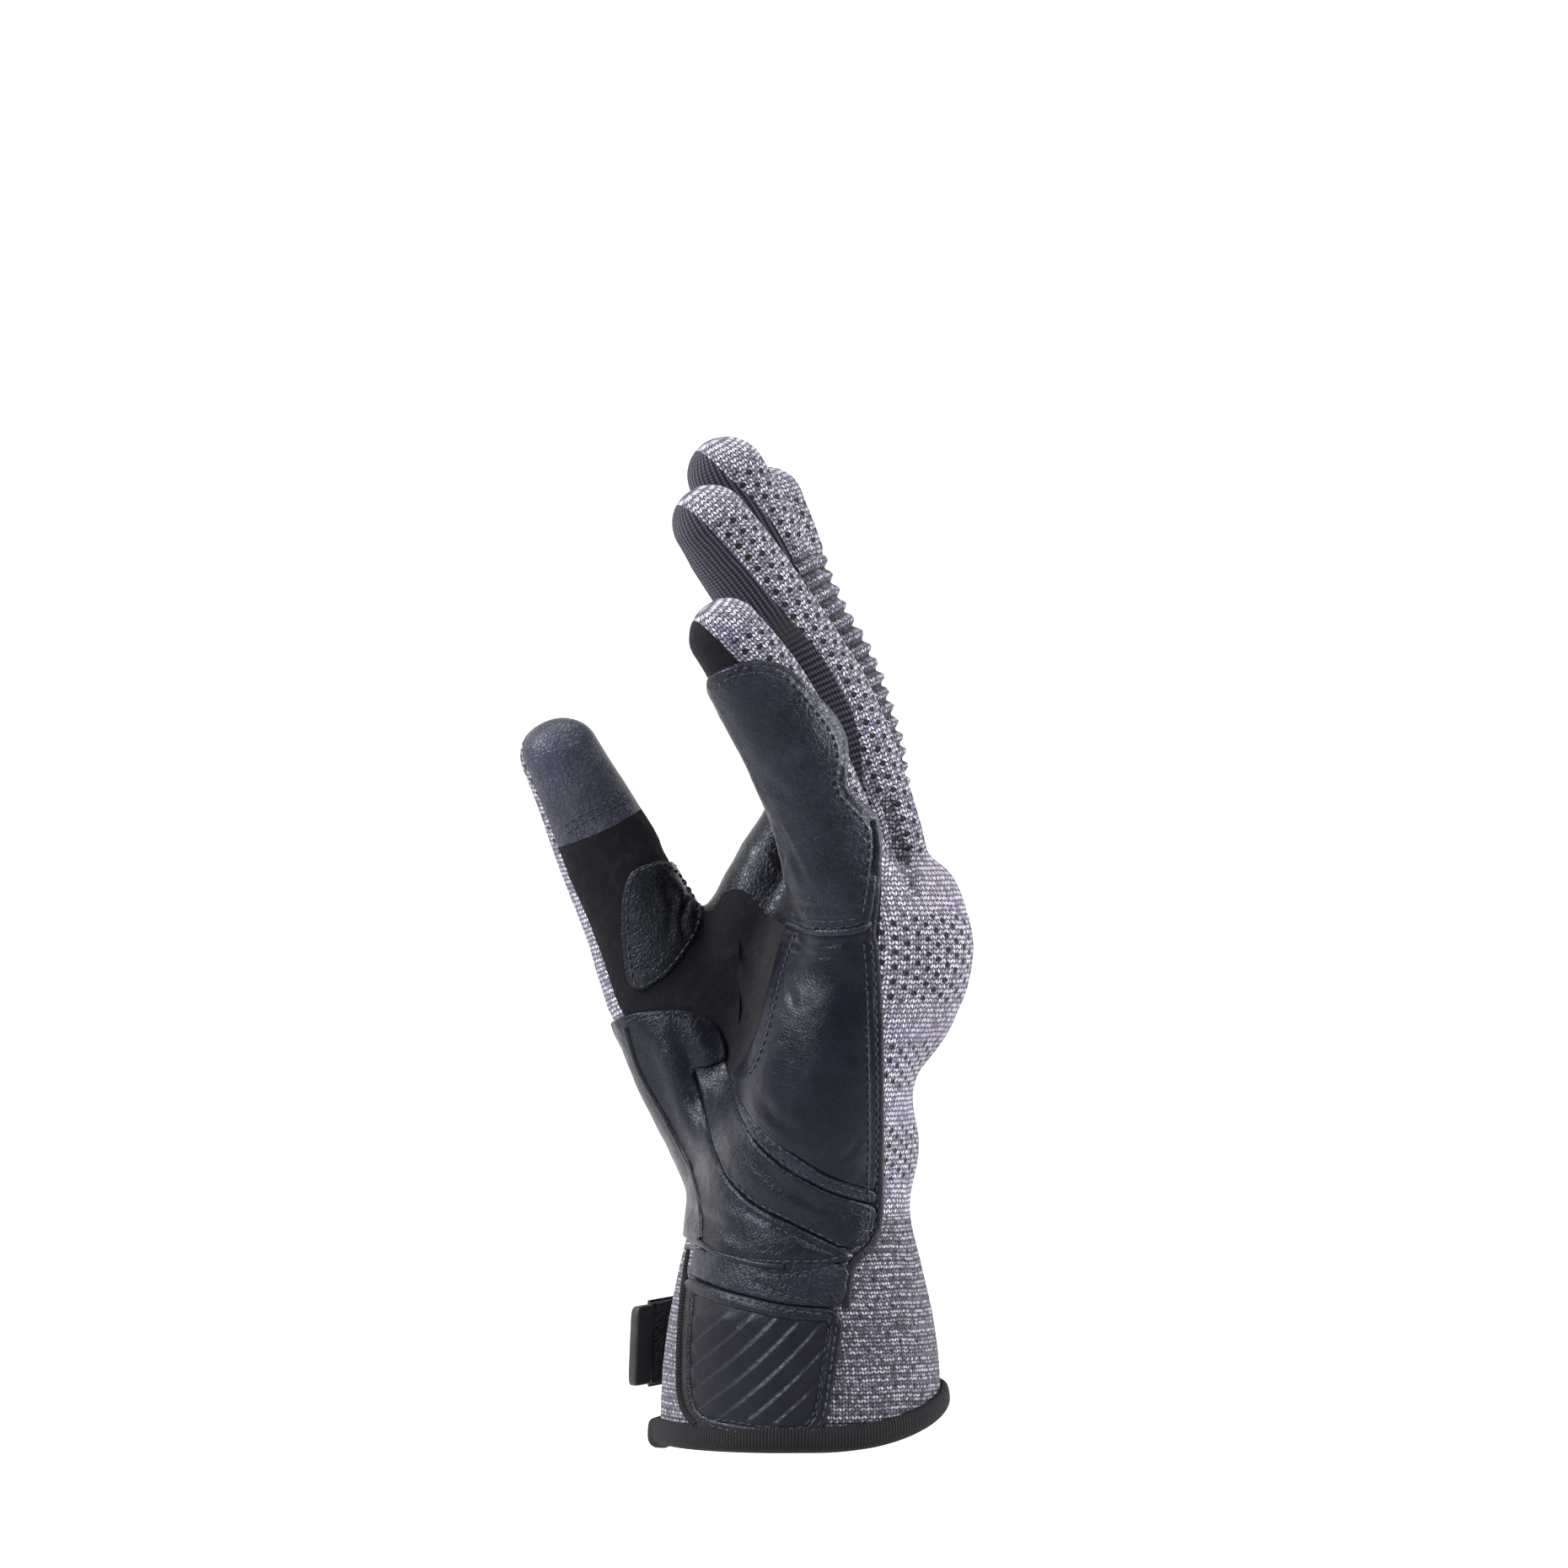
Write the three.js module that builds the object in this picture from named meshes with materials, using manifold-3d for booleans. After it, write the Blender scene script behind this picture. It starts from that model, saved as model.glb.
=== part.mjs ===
// A short-cuff motorcycle glove for the left hand, standing in the form that a hand gives it:
// knitted back and fingers, leather and suede palm, sewn-on guards, wrist tab, strap and bound hem.
//
// Millimetres. The origin is the centre of the wrist opening, +Z runs up the hand towards the
// fingertips, +X to the back of the hand and +Y to the thumb side.
import * as THREE from "three";
import { mergeVertices } from "three/addons/utils/BufferGeometryUtils.js";
import Module from "manifold-3d";

const wasm = await Module();
wasm.setup();

// Driving dimensions.
const CUFF_HEIGHT = 57; // hem to the narrowest part of the wrist
const PALM_HEIGHT = 84; // narrowest part of the wrist to the crotches between the fingers
const OPENING_WIDTH = 76;
const OPENING_DEPTH = 67;
const WRIST_WIDTH = 66;
const WRIST_DEPTH = 51;
const PALM_WIDTH = 88; // across the four knuckles
const PALM_DEPTH = 40; // palm to back at the knuckles
const KNUCKLE_RISE = 1; // how far the knuckle shield is padded out
const WALL = 1.6; // knit, leather and suede
const OVERLAY = 1.2; // leather sewn on top of the wall
const GAP = 0.3; // between neighbouring pieces
const HEM_HEIGHT = 6; // tape folded round the hem
const HEM_THICK = 1.2;
const HEM_RISE = 10.5; // the hem is higher at the back of the hand than at the palm
const TAB_RIM = 2.4; // bound edge of the wrist tab
const TAB_RIBS = 8;
const TAB_RIB_THICK = 0.8;
const STRAP_HEIGHT = 22;
const STRAP_THICK = 2.2;
const STRAP_UP = 15; // the strap's lower edge above the hem
const STRAP_FREE = 27; // the end that stands off the cuff
const STRAP_TIP = 5; // moulded tip on that end
const STRAP_LAP = 4; // the free end's overlap with the band round the cuff
const SIDE_TURN = 15; // degrees that the side view of the sewn panels is turned towards the palm

// The digits. root is in shares of the palm's depth, width and height, lean is in degrees towards
// the palm at the root and at the tip, and fan is in degrees towards the thumb side.
const DIGITS = {
  little: { root: [0.117, -0.389, 0.774], length: 94, lean: [8, 42], fan: [-2, -1], width: 20.4, depth: 22 },
  ring: { root: [0.472, -0.132, 0.845], length: 119, lean: [12, 39], fan: [0, 0], width: 21.4, depth: 22.8 },
  middle: { root: [0.556, 0.13, 0.87], length: 126, lean: [10, 30], fan: [0, 0], width: 21.6, depth: 23 },
  index: { root: [0.62, 0.389, 0.845], length: 117, lean: [8, 18], fan: [2, 1], width: 20.6, depth: 21.8 },
};
const THUMB = { root: [-0.08, 0.2, 0.06], length: 130, lean: [20, 29], fan: [19, -4], width: 21.6, depth: 22 };
const WEB = { root: [-0.3, 0.32, 0.655], length: 54, lean: [-24, -21], fan: [2, 2], width: 23, depth: 23 };

// Rows up the cuff. up is a share of the cuff's height and mix goes from the wrist's size to the
// opening's.
const CUFF_ROWS = [
  { up: -0.06, mix: 1.0 },
  { up: 0.24, mix: 0.98 },
  { up: 0.52, mix: 0.78 },
  { up: 0.76, mix: 0.4 },
  { up: 1.0, mix: 0.02 },
];
// Rows up the palm. up is a share of its height, mix goes from the wrist's width to the palm's,
// centre, back and front are shares of its depth, and drop is how far the little finger's edge
// falls towards the palm.
const PALM_ROWS = [
  { up: 0.13, mix: 0.1, centre: 0.01, back: 0.64, front: 0.62, drop: 0.0 },
  { up: 0.25, mix: 0.3, centre: 0.07, back: 0.6, front: 0.6, drop: 0.03 },
  { up: 0.4, mix: 0.62, centre: 0.16, back: 0.55, front: 0.55, drop: 0.09 },
  { up: 0.56, mix: 0.85, centre: 0.25, back: 0.54, front: 0.53, drop: 0.16 },
  { up: 0.72, mix: 0.97, centre: 0.34, back: 0.51, front: 0.53, drop: 0.21 },
  { up: 0.86, mix: 1.0, centre: 0.4, back: 0.45, front: 0.48, drop: 0.25 },
  { up: 0.97, mix: 0.96, centre: 0.41, back: 0.34, front: 0.34, drop: 0.26 },
  { up: 1.02, mix: 0.84, centre: 0.41, back: 0.2, front: 0.2, drop: 0.24 },
];
const THUMB_SIDE_DROP = 0.3; // the thumb's edge falls this much less

// Rows along a digit. along is a share of its length below the domed tip, wide and deep are shares
// of its width and depth.
const FINGER_ROWS = [
  { along: 0.0, wide: 0.78, deep: 0.82 },
  { along: 0.16, wide: 1.0, deep: 1.06 },
  { along: 0.4, wide: 1.0, deep: 1.0 },
  { along: 0.64, wide: 0.98, deep: 0.97 },
  { along: 0.84, wide: 0.94, deep: 0.94 },
  { along: 1.0, wide: 0.83, deep: 0.8 },
];
const THUMB_ROWS = [
  { along: 0.0, wide: 0.9, deep: 0.9 },
  { along: 0.08, wide: 1.4, deep: 1.4 },
  { along: 0.26, wide: 1.5, deep: 1.5 },
  { along: 0.42, wide: 1.35, deep: 1.36 },
  { along: 0.6, wide: 1.16, deep: 1.14 },
  { along: 0.85, wide: 1.02, deep: 0.99 },
  { along: 1.0, wide: 0.86, deep: 0.83 },
];
const WEB_ROWS = [
  { along: 0.0, wide: 1.0, deep: 1.0 },
  { along: 0.5, wide: 0.98, deep: 0.96 },
  { along: 1.0, wide: 0.78, deep: 0.7 },
];
const TIP_SHARE = 0.44; // height of the dome as a share of the digit's width

// Swellings on the hand: place and radii in shares of the palm's depth, width and height.
const KNUCKLES = { at: [0.6, 0.0, 0.745], radii: [0.45, 0.41, 0.315] };
const BACK_PAD = { at: [0.36, 0.0, 0.21], radii: [0.375, 0.27, 0.17] };
const HEEL_OF_HAND = { at: [-0.02, -0.27, 0.4], radii: [0.42, 0.205, 0.35] };

const HAND_SIDES = 20;
const DIGIT_SIDES = 12;
const DOME_ROWS = 3;
const HAND_POWER = 2.35; // 2 is an ellipse, more is squarer
const DIGIT_POWER = 2.2;

// Sewn-on panels seen from the little finger's side: each point is a share of the palm's depth
// across and of its height above the wrist. far is how deep the cut goes, in shares of PALM_WIDTH
// from the middle of the hand. A panel with follow ends along the middle of that digit instead.
const PANELS = {
  little_guard: {
    far: 0,
    follow: "little",
    points: [
      [-0.58, 1.59], [-0.23, 1.62], [-0.05, 1.59], [0.09, 1.53], [0.2, 1.45], [0.28, 1.35], [0.31, 1.25],
      [0.45, 1.14], [0.45, 0.96], [0.42, 0.842], [-0.04, 0.832], [-0.13, 0.99], [-0.36, 1.19],
    ],
  },
  hypothenar_leather: {
    far: 0.04,
    points: [
      [-0.04, 0.824], [0.42, 0.834], [0.45, 0.59], [0.46, 0.34], [0.44, 0.09], [0.21, 0.127],
      [-0.03, 0.19], [-0.23, 0.29], [-0.36, 0.4], [-0.28, 0.5], [-0.18, 0.62], [-0.1, 0.72],
    ],
  },
  heel_band: {
    far: 0.04,
    points: [
      [-0.38, 0.43], [-0.23, 0.3], [-0.03, 0.2], [0.21, 0.13], [0.44, 0.1], [0.45, 0.04], [0.13, 0.095],
      [-0.17, 0.214], [-0.34, 0.33], [-0.46, 0.44],
    ],
  },
  heel_pad: {
    far: 0.08,
    points: [
      [-0.46, 0.44], [-0.34, 0.35], [-0.17, 0.24], [0.13, 0.11], [0.45, 0.05], [0.44, -0.04],
      [0.28, -0.113], [-0.05, -0.019], [-0.31, 0.093], [-0.46, 0.214], [-0.53, 0.323],
    ],
  },
  thenar_leather: {
    far: 0.3,
    points: [
      [-1.12, 0.581], [-0.93, 0.594], [-0.72, 0.576], [-0.51, 0.48], [-0.5, 0.32], [-0.43, 0.214],
      [-0.28, 0.1], [0.0, -0.02], [0.28, -0.1], [0.18, -0.133], [-0.26, -0.121], [-0.8, -0.093], [-1.4, 0.2],
    ],
  },
  wrist_yoke: {
    far: -0.12,
    points: [[-0.72, -0.1], [-0.26, -0.128], [0.28, -0.14], [0.18, -0.267], [-0.26, -0.212], [-0.72, -0.173]],
  },
  wrist_tab: {
    far: -0.12,
    points: [
      [-0.72, -0.18], [-0.26, -0.22], [0.25, -0.28], [0.19, -0.56], [0.14, -0.615],
      [0.02, -0.645], [-0.23, -0.654], [-0.55, -0.634], [-0.68, -0.6], [-0.72, -0.54],
    ],
  },
  thumb_patch: {
    far: 0.28,
    points: [
      [-1.1, 0.94], [-1.04, 1.01], [-0.83, 1.04], [-0.67, 0.963], [-0.6, 0.852], [-0.78, 0.71],
      [-0.98, 0.646], [-1.07, 0.671], [-1.1, 0.814],
    ],
  },
};

// Seam between the palm's leather and the back's knit: up the palm, across its depth.
const SEAM_ROWS = [
  { up: -0.2, across: 0.3 },
  { up: 0.15, across: 0.27 },
  { up: 0.4, across: 0.23 },
  { up: 0.8, across: 0.19 },
  { up: 1.1, across: 0.22 },
];
// Hem line: out is a share of half the opening's depth, up is a share of HEM_RISE.
const HEM_ROWS = [
  { out: -1.5, up: 0.02 },
  { out: 0.0, up: 0.0 },
  { out: 0.4, up: 0.18 },
  { out: 0.75, up: 0.55 },
  { out: 1.03, up: 1.0 },
  { out: 1.5, up: 1.8 },
];
const THUMB_TURN = 132; // the thumb's back faces this far round from the back of the hand
const THUMB_KNIT_FROM = 0.3;
const THUMB_TIP_FROM = 0.77; // leather tip of the thumb, as a share of its length
const LITTLE_TIP_FROM = 0.76; // suede tip of the little finger
const KNIT_SINK = 0.12; // the finger's knit wraps this far past its middle, as a share of its depth
const UPPER_PALM = 0.86; // lower edge of the upper palm leather, as a share of PALM_HEIGHT
const FINGER_PLANE = 1.06; // the fingers' own pieces start here

const radians = THREE.MathUtils.degToRad;
const mix = THREE.MathUtils.lerp;
const palmZ = (share) => CUFF_HEIGHT + share * PALM_HEIGHT;
const FAR = 2 * PALM_WIDTH; // well clear of the glove
const union = (...solids) => wasm.Manifold.union(solids);

// Solids from geometry, and back.
function solidOf(geometry) {
  const bare = new THREE.BufferGeometry();
  bare.setAttribute("position", geometry.getAttribute("position"));
  if (geometry.getIndex()) bare.setIndex(geometry.getIndex());
  const merged = mergeVertices(bare, 1e-4);
  const vertProperties = new Float32Array(merged.attributes.position.array);
  const triVerts = new Uint32Array(merged.getIndex().array);
  const make = () => new wasm.Manifold(new wasm.Mesh({ numProp: 3, vertProperties, triVerts }));
  const solid = make();
  if (solid.volume() > 0) return solid;
  for (let i = 0; i < triVerts.length; i += 3) {
    [triVerts[i], triVerts[i + 1]] = [triVerts[i + 1], triVerts[i]];
  }
  return make();
}

function geometryOf(solid) {
  const mesh = solid.getMesh();
  const points = new Float32Array(mesh.numVert * 3);
  for (let i = 0; i < mesh.numVert; i++) {
    points.set(mesh.vertProperties.subarray(i * mesh.numProp, i * mesh.numProp + 3), i * 3);
  }
  const geometry = new THREE.BufferGeometry();
  geometry.setAttribute("position", new THREE.BufferAttribute(points, 3));
  geometry.setIndex(new THREE.BufferAttribute(new Uint32Array(mesh.triVerts), 1));
  geometry.computeVertexNormals();
  return geometry;
}

// A skin through rings of points, closed at both ends.
function loft(rings) {
  const count = rings[0].length;
  const points = rings.flat();
  const faces = [];
  for (let r = 0; r + 1 < rings.length; r++) {
    for (let i = 0; i < count; i++) {
      const [a, b] = [r * count + i, r * count + ((i + 1) % count)];
      faces.push(a, b, b + count, a, b + count, a + count);
    }
  }
  for (const end of [0, rings.length - 1]) {
    const hub = points.length;
    points.push(rings[end].reduce((sum, p) => sum.add(p), new THREE.Vector3()).divideScalar(count));
    for (let i = 0; i < count; i++) {
      const [a, b] = [end * count + i, end * count + ((i + 1) % count)];
      faces.push(hub, ...(end === 0 ? [b, a] : [a, b]));
    }
  }
  const geometry = new THREE.BufferGeometry().setFromPoints(points);
  geometry.setIndex(faces);
  return solidOf(geometry);
}

// A value on a circle pushed out towards a square.
const squared = (value, power) => Math.sign(value) * Math.abs(value) ** (2 / power);

function handRing({ z, centre, back, front, side, drop }, offset) {
  const ring = [];
  for (let i = 0; i < HAND_SIDES; i++) {
    const angle = (2 * Math.PI * i) / HAND_SIDES;
    const across = squared(Math.cos(angle), HAND_POWER);
    const along = squared(Math.sin(angle), HAND_POWER);
    const fall = drop * along * along * (along < 0 ? 1 : THUMB_SIDE_DROP);
    const x = centre + across * ((across > 0 ? back : front) + offset) - fall;
    ring.push(new THREE.Vector3(x, along * (side + offset), z));
  }
  return ring;
}

// Cuff and palm without the digits, grown by offset.
function palmBody(offset) {
  const cuff = CUFF_ROWS.map(({ up, mix: m }) => ({
    z: up * CUFF_HEIGHT,
    centre: 0,
    back: mix(WRIST_DEPTH, OPENING_DEPTH, m) / 2,
    front: mix(WRIST_DEPTH, OPENING_DEPTH, m) / 2,
    side: mix(WRIST_WIDTH, OPENING_WIDTH, m) / 2,
    drop: 0,
  }));
  const palm = PALM_ROWS.map(({ up, mix: m, centre, back, front, drop }) => ({
    z: palmZ(up) + (up > 1 ? offset : 0),
    centre: centre * PALM_DEPTH,
    back: back * PALM_DEPTH,
    front: front * PALM_DEPTH,
    side: mix(WRIST_WIDTH, PALM_WIDTH, m) / 2,
    drop: drop * PALM_DEPTH,
  }));
  return loft([...cuff, ...palm].map((row) => handRing(row, offset)));
}

// A digit's bent centre line in short steps.
const LINE_STEPS = 40;
function centreLine({ root, length, lean, fan }) {
  const place = new THREE.Vector3(root[0] * PALM_DEPTH, root[1] * PALM_WIDTH, palmZ(root[2]));
  const line = [];
  for (let i = 0; i <= LINE_STEPS; i++) {
    const down = radians(mix(...lean, i / LINE_STEPS));
    const turn = radians(mix(...fan, i / LINE_STEPS));
    const heading = new THREE.Vector3(-Math.sin(down), Math.tan(turn), Math.cos(down)).normalize();
    line.push({ place: place.clone(), heading });
    place.addScaledVector(heading, length / LINE_STEPS);
  }
  return line;
}
for (const shape of [...Object.values(DIGITS), THUMB, WEB]) shape.line = centreLine(shape);

// Where a digit is at a share of its length, with its sideways and backward directions.
function digitFrame({ line, length }, share) {
  const exact = THREE.MathUtils.clamp(share, 0, 1) * LINE_STEPS;
  const low = Math.min(Math.floor(exact), LINE_STEPS - 1);
  const place = line[low].place.clone().lerp(line[low + 1].place, exact - low);
  const heading = line[low].heading.clone().lerp(line[low + 1].heading, exact - low).normalize();
  place.addScaledVector(heading, (share - exact / LINE_STEPS) * length);
  const aside = new THREE.Vector3(0, 1, 0).addScaledVector(heading, -heading.y).normalize();
  return { place, aside, back: new THREE.Vector3().crossVectors(aside, heading) };
}

function digitRing({ place, aside, back }, halfWidth, halfDepth) {
  const ring = [];
  for (let i = 0; i < DIGIT_SIDES; i++) {
    const angle = (2 * Math.PI * i) / DIGIT_SIDES;
    const point = place.clone();
    point.addScaledVector(back, squared(Math.cos(angle), DIGIT_POWER) * halfDepth);
    point.addScaledVector(aside, squared(Math.sin(angle), DIGIT_POWER) * halfWidth);
    ring.push(point);
  }
  return ring;
}

// A whole digit, grown by offset.
function digit(shape, rows, offset) {
  const tip = TIP_SHARE * shape.width;
  const straight = 1 - tip / shape.length;
  const ringAt = (share, wide, deep, shrink) =>
    digitRing(
      digitFrame(shape, share),
      ((wide * shape.width) / 2 + offset) * shrink,
      ((deep * shape.depth) / 2 + offset) * shrink,
    );
  const rings = rows.map(({ along, wide, deep }) =>
    ringAt(along > 0 ? along * straight : -offset / shape.length, wide, deep, 1),
  );
  const { wide, deep } = rows[rows.length - 1];
  for (let i = 1; i <= DOME_ROWS; i++) {
    const angle = (i / (DOME_ROWS + 0.4)) * (Math.PI / 2);
    const rise = (tip + offset) * Math.sin(angle);
    rings.push(ringAt(straight + rise / shape.length, wide, deep, Math.cos(angle)));
  }
  return loft(rings);
}
const finger = (name, offset) => digit(DIGITS[name], FINGER_ROWS, offset);
const thumb = (offset) => digit(THUMB, THUMB_ROWS, offset);
const web = (offset) => digit(WEB, WEB_ROWS, offset);

function swelling({ at, radii }, rise, offset) {
  const ball = new THREE.SphereGeometry(1, 12, 8);
  ball.scale(
    radii[0] * PALM_DEPTH + rise + offset,
    radii[1] * PALM_WIDTH + offset,
    radii[2] * PALM_HEIGHT + offset,
  );
  ball.translate(at[0] * PALM_DEPTH, at[1] * PALM_WIDTH, palmZ(at[2]));
  return solidOf(ball);
}

// The whole hand's volume, grown by offset.
const hand = (offset) =>
  union(
    palmBody(offset),
    swelling(KNUCKLES, KNUCKLE_RISE, offset),
    swelling(BACK_PAD, 0, offset),
    swelling(HEEL_OF_HAND, 0, offset),
    web(offset),
    thumb(offset),
    ...Object.keys(DIGITS).map((name) => finger(name, offset)),
  );

// Flat outlines and their cutters.
function grown(points, gap) {
  const area = THREE.ShapeUtils.area(points);
  const out = points.map((point, i) => {
    const before = points[(i + points.length - 1) % points.length];
    const after = points[(i + 1) % points.length];
    const into = point.clone().sub(before).normalize();
    const onward = after.clone().sub(point).normalize();
    const normal = new THREE.Vector2(into.y + onward.y, -into.x - onward.x).normalize();
    const stretch = Math.max(normal.dot(new THREE.Vector2(into.y, -into.x)), 0.4);
    return point.clone().addScaledVector(normal, (Math.sign(area) * gap) / stretch);
  });
  return out;
}

const TURN = radians(SIDE_TURN);
const VIEW = new THREE.Vector3(Math.sin(TURN), Math.cos(TURN), 0);
const VIEW_ACROSS = new THREE.Vector3(Math.cos(TURN), -Math.sin(TURN), 0);
const UP = new THREE.Vector3(0, 0, 1);
// An outline of the side view cut through everything nearer than far.
function sideCut(points, far) {
  const bar = new THREE.ExtrudeGeometry(new THREE.Shape(points), { depth: FAR, bevelEnabled: false });
  const place = new THREE.Matrix4().makeBasis(VIEW_ACROSS, UP, VIEW.clone().negate());
  place.setPosition(VIEW.clone().multiplyScalar(far * PALM_WIDTH));
  return solidOf(bar.applyMatrix4(place));
}
const panelPoints = ({ points }) =>
  points.map(([across, up]) => new THREE.Vector2(across * PALM_DEPTH, palmZ(up)));

const tabCut = (gap) => sideCut(grown(panelPoints(PANELS.wrist_tab), gap), PANELS.wrist_tab.far);

// An outline across the depth and up, cut right through the width.
function throughCut(points) {
  const bar = new THREE.ExtrudeGeometry(new THREE.Shape(points), { depth: 2 * FAR, bevelEnabled: false });
  bar.rotateX(Math.PI / 2).translate(0, FAR, 0);
  return solidOf(bar);
}
const slab = (low, high) =>
  throughCut([[-FAR, low], [FAR, low], [FAR, high], [-FAR, high]].map(([x, z]) => new THREE.Vector2(x, z)));

// Everything above the hem line lifted by lift.
function aboveHem(lift) {
  const line = HEM_ROWS.map(
    ({ out, up }) => new THREE.Vector2((out * OPENING_DEPTH) / 2, up * HEM_RISE + lift),
  );
  return throughCut([...line, new THREE.Vector2(FAR, 4 * HEM_RISE), new THREE.Vector2(FAR, FAR * 2),
    new THREE.Vector2(-FAR, FAR * 2), new THREE.Vector2(-FAR, lift)]);
}

// The palm's side of the seam, moved by gap towards the back.
function palmSide(gap) {
  const line = SEAM_ROWS.map(({ up, across }) => new THREE.Vector2(across * PALM_DEPTH + gap, palmZ(up)));
  const last = line[line.length - 1];
  return throughCut([...line, new THREE.Vector2(-FAR, last.y), new THREE.Vector2(-FAR, line[0].y)]);
}

// One side of a plane that follows a digit. turn is measured from the digit's back towards the thumb
// side, sink moves the plane the other way, and gap grows the cut.
function alongDigit(shape, { from = 0, to = 1.1, turn = 0, sink = 0, gap = 0 }) {
  const rings = [];
  const steps = 6;
  for (let i = 0; i <= steps; i++) {
    const ends = i === 0 ? -gap : i === steps ? gap : 0;
    const { place, aside, back } = digitFrame(shape, mix(from, to, i / steps) + ends / shape.length);
    const outward = back.clone().multiplyScalar(Math.cos(radians(turn)));
    outward.addScaledVector(aside, Math.sin(radians(turn)));
    const sideways = aside.clone().multiplyScalar(Math.cos(radians(turn)));
    sideways.addScaledVector(back, -Math.sin(radians(turn)));
    const inner = -sink * shape.depth - gap;
    const reach = 1.2 * shape.depth;
    const corner = (out, side) =>
      place.clone().addScaledVector(outward, out).addScaledVector(sideways, side * reach);
    rings.push([corner(inner, -1), corner(inner, 1), corner(reach, 1), corner(reach, -1)]);
  }
  return loft(rings);
}

// The pieces. Every cut leaves a gap to what remains.
const group = new THREE.Group();
function place(name, solid, colour) {
  const parts = solid.decompose().sort((a, b) => b.volume() - a.volume());
  const kept = parts.filter((part, i) => i === 0 && part.volume() > 1);
  if (!kept.length) throw new Error(`${name} is empty`);
  const mesh = new THREE.Mesh(geometryOf(kept[0]), new THREE.MeshStandardMaterial({ color: colour }));
  mesh.name = name;
  group.add(mesh);
}
const KNIT = "#8f8a9c";
const DARK = "#24242c";
const SUEDE = "#15161c";
const LEATHER = "#1f2230";
const BLACK = "#101014";

const outside = hand(0);
const inside = hand(-WALL);
const shell = outside.subtract(inside);
const skin = 0.4 * GAP; // digits are told apart this far outside their own surface

// Fingers: knit back and sides, ribbed underside.
const fingerTop = shell.intersect(slab(palmZ(FINGER_PLANE), FAR * 2)).subtract(web(GAP + skin));
for (const [name, shape] of Object.entries(DIGITS)) {
  const own = fingerTop.intersect(finger(name, skin));
  const back = { from: -0.1, sink: KNIT_SINK };
  place(`${name}_knit`, own.intersect(alongDigit(shape, back)), KNIT);
  let under = own.subtract(alongDigit(shape, { ...back, gap: GAP }));
  if (name === "little") {
    const tip = { from: LITTLE_TIP_FROM, sink: 2 };
    place("little_tip", under.intersect(alongDigit(shape, tip)), SUEDE);
    under = under.subtract(alongDigit(shape, { ...tip, gap: GAP }));
  }
  place(`${name}_underside`, under, DARK);
}

// Thumb: knit back, leather tip, suede underside.
const thumbShell = shell.intersect(thumb(skin)).subtract(web(GAP + skin));
const thumbKnit = { from: THUMB_KNIT_FROM, turn: THUMB_TURN };
place("thumb_knit", thumbShell.intersect(alongDigit(THUMB, thumbKnit)), KNIT);
const thumbUnder = thumbShell
  .intersect(alongDigit(THUMB, { from: THUMB_KNIT_FROM, sink: 3 }))
  .subtract(alongDigit(THUMB, { ...thumbKnit, gap: GAP }));
const thumbTip = { from: THUMB_TIP_FROM, sink: 3 };
place("thumb_tip", thumbUnder.intersect(alongDigit(THUMB, thumbTip)), LEATHER);
place("thumb_suede", thumbUnder.subtract(alongDigit(THUMB, { ...thumbTip, gap: GAP })), SUEDE);

// Hand: web between thumb and index finger, upper palm, palm, back and cuff.
const handShell = shell
  .subtract(thumb(skin + GAP).intersect(alongDigit(THUMB, { from: THUMB_KNIT_FROM, sink: 3, gap: GAP })))
  .intersect(slab(CUFF_HEIGHT + GAP, palmZ(FINGER_PLANE) - GAP));
const palmShell = handShell.subtract(web(GAP + skin)).intersect(palmSide(0));
const fingersAbove = union(...Object.keys(DIGITS).map((name) => finger(name, GAP)));
const besideFingers = fingersAbove.intersect(slab(palmZ(FINGER_PLANE) - GAP, FAR));
place("thumb_web", shell.intersect(web(skin)).subtract(besideFingers), LEATHER);
place("upper_palm", palmShell.intersect(slab(palmZ(UPPER_PALM), FAR)), LEATHER);
place("palm_suede", palmShell.intersect(slab(0, palmZ(UPPER_PALM) - GAP)), SUEDE);
place("back_knit", handShell.subtract(palmSide(GAP)).subtract(web(GAP + skin)), KNIT);
const hemLift = HEM_THICK + GAP;
place("cuff_knit", shell.intersect(slab(-FAR, CUFF_HEIGHT)).intersect(aboveHem(hemLift)), KNIT);

// Hem tape folded round the cuff's edge.
const tapeBody = hand(HEM_THICK + GAP).subtract(hand(-WALL - GAP - HEM_THICK));
const tapeSlot = hand(GAP).subtract(hand(-WALL - GAP)).intersect(aboveHem(HEM_THICK));
place(
  "hem_tape",
  tapeBody.intersect(aboveHem(0)).subtract(aboveHem(HEM_HEIGHT)).subtract(tapeSlot).subtract(tabCut(GAP)),
  BLACK,
);

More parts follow.
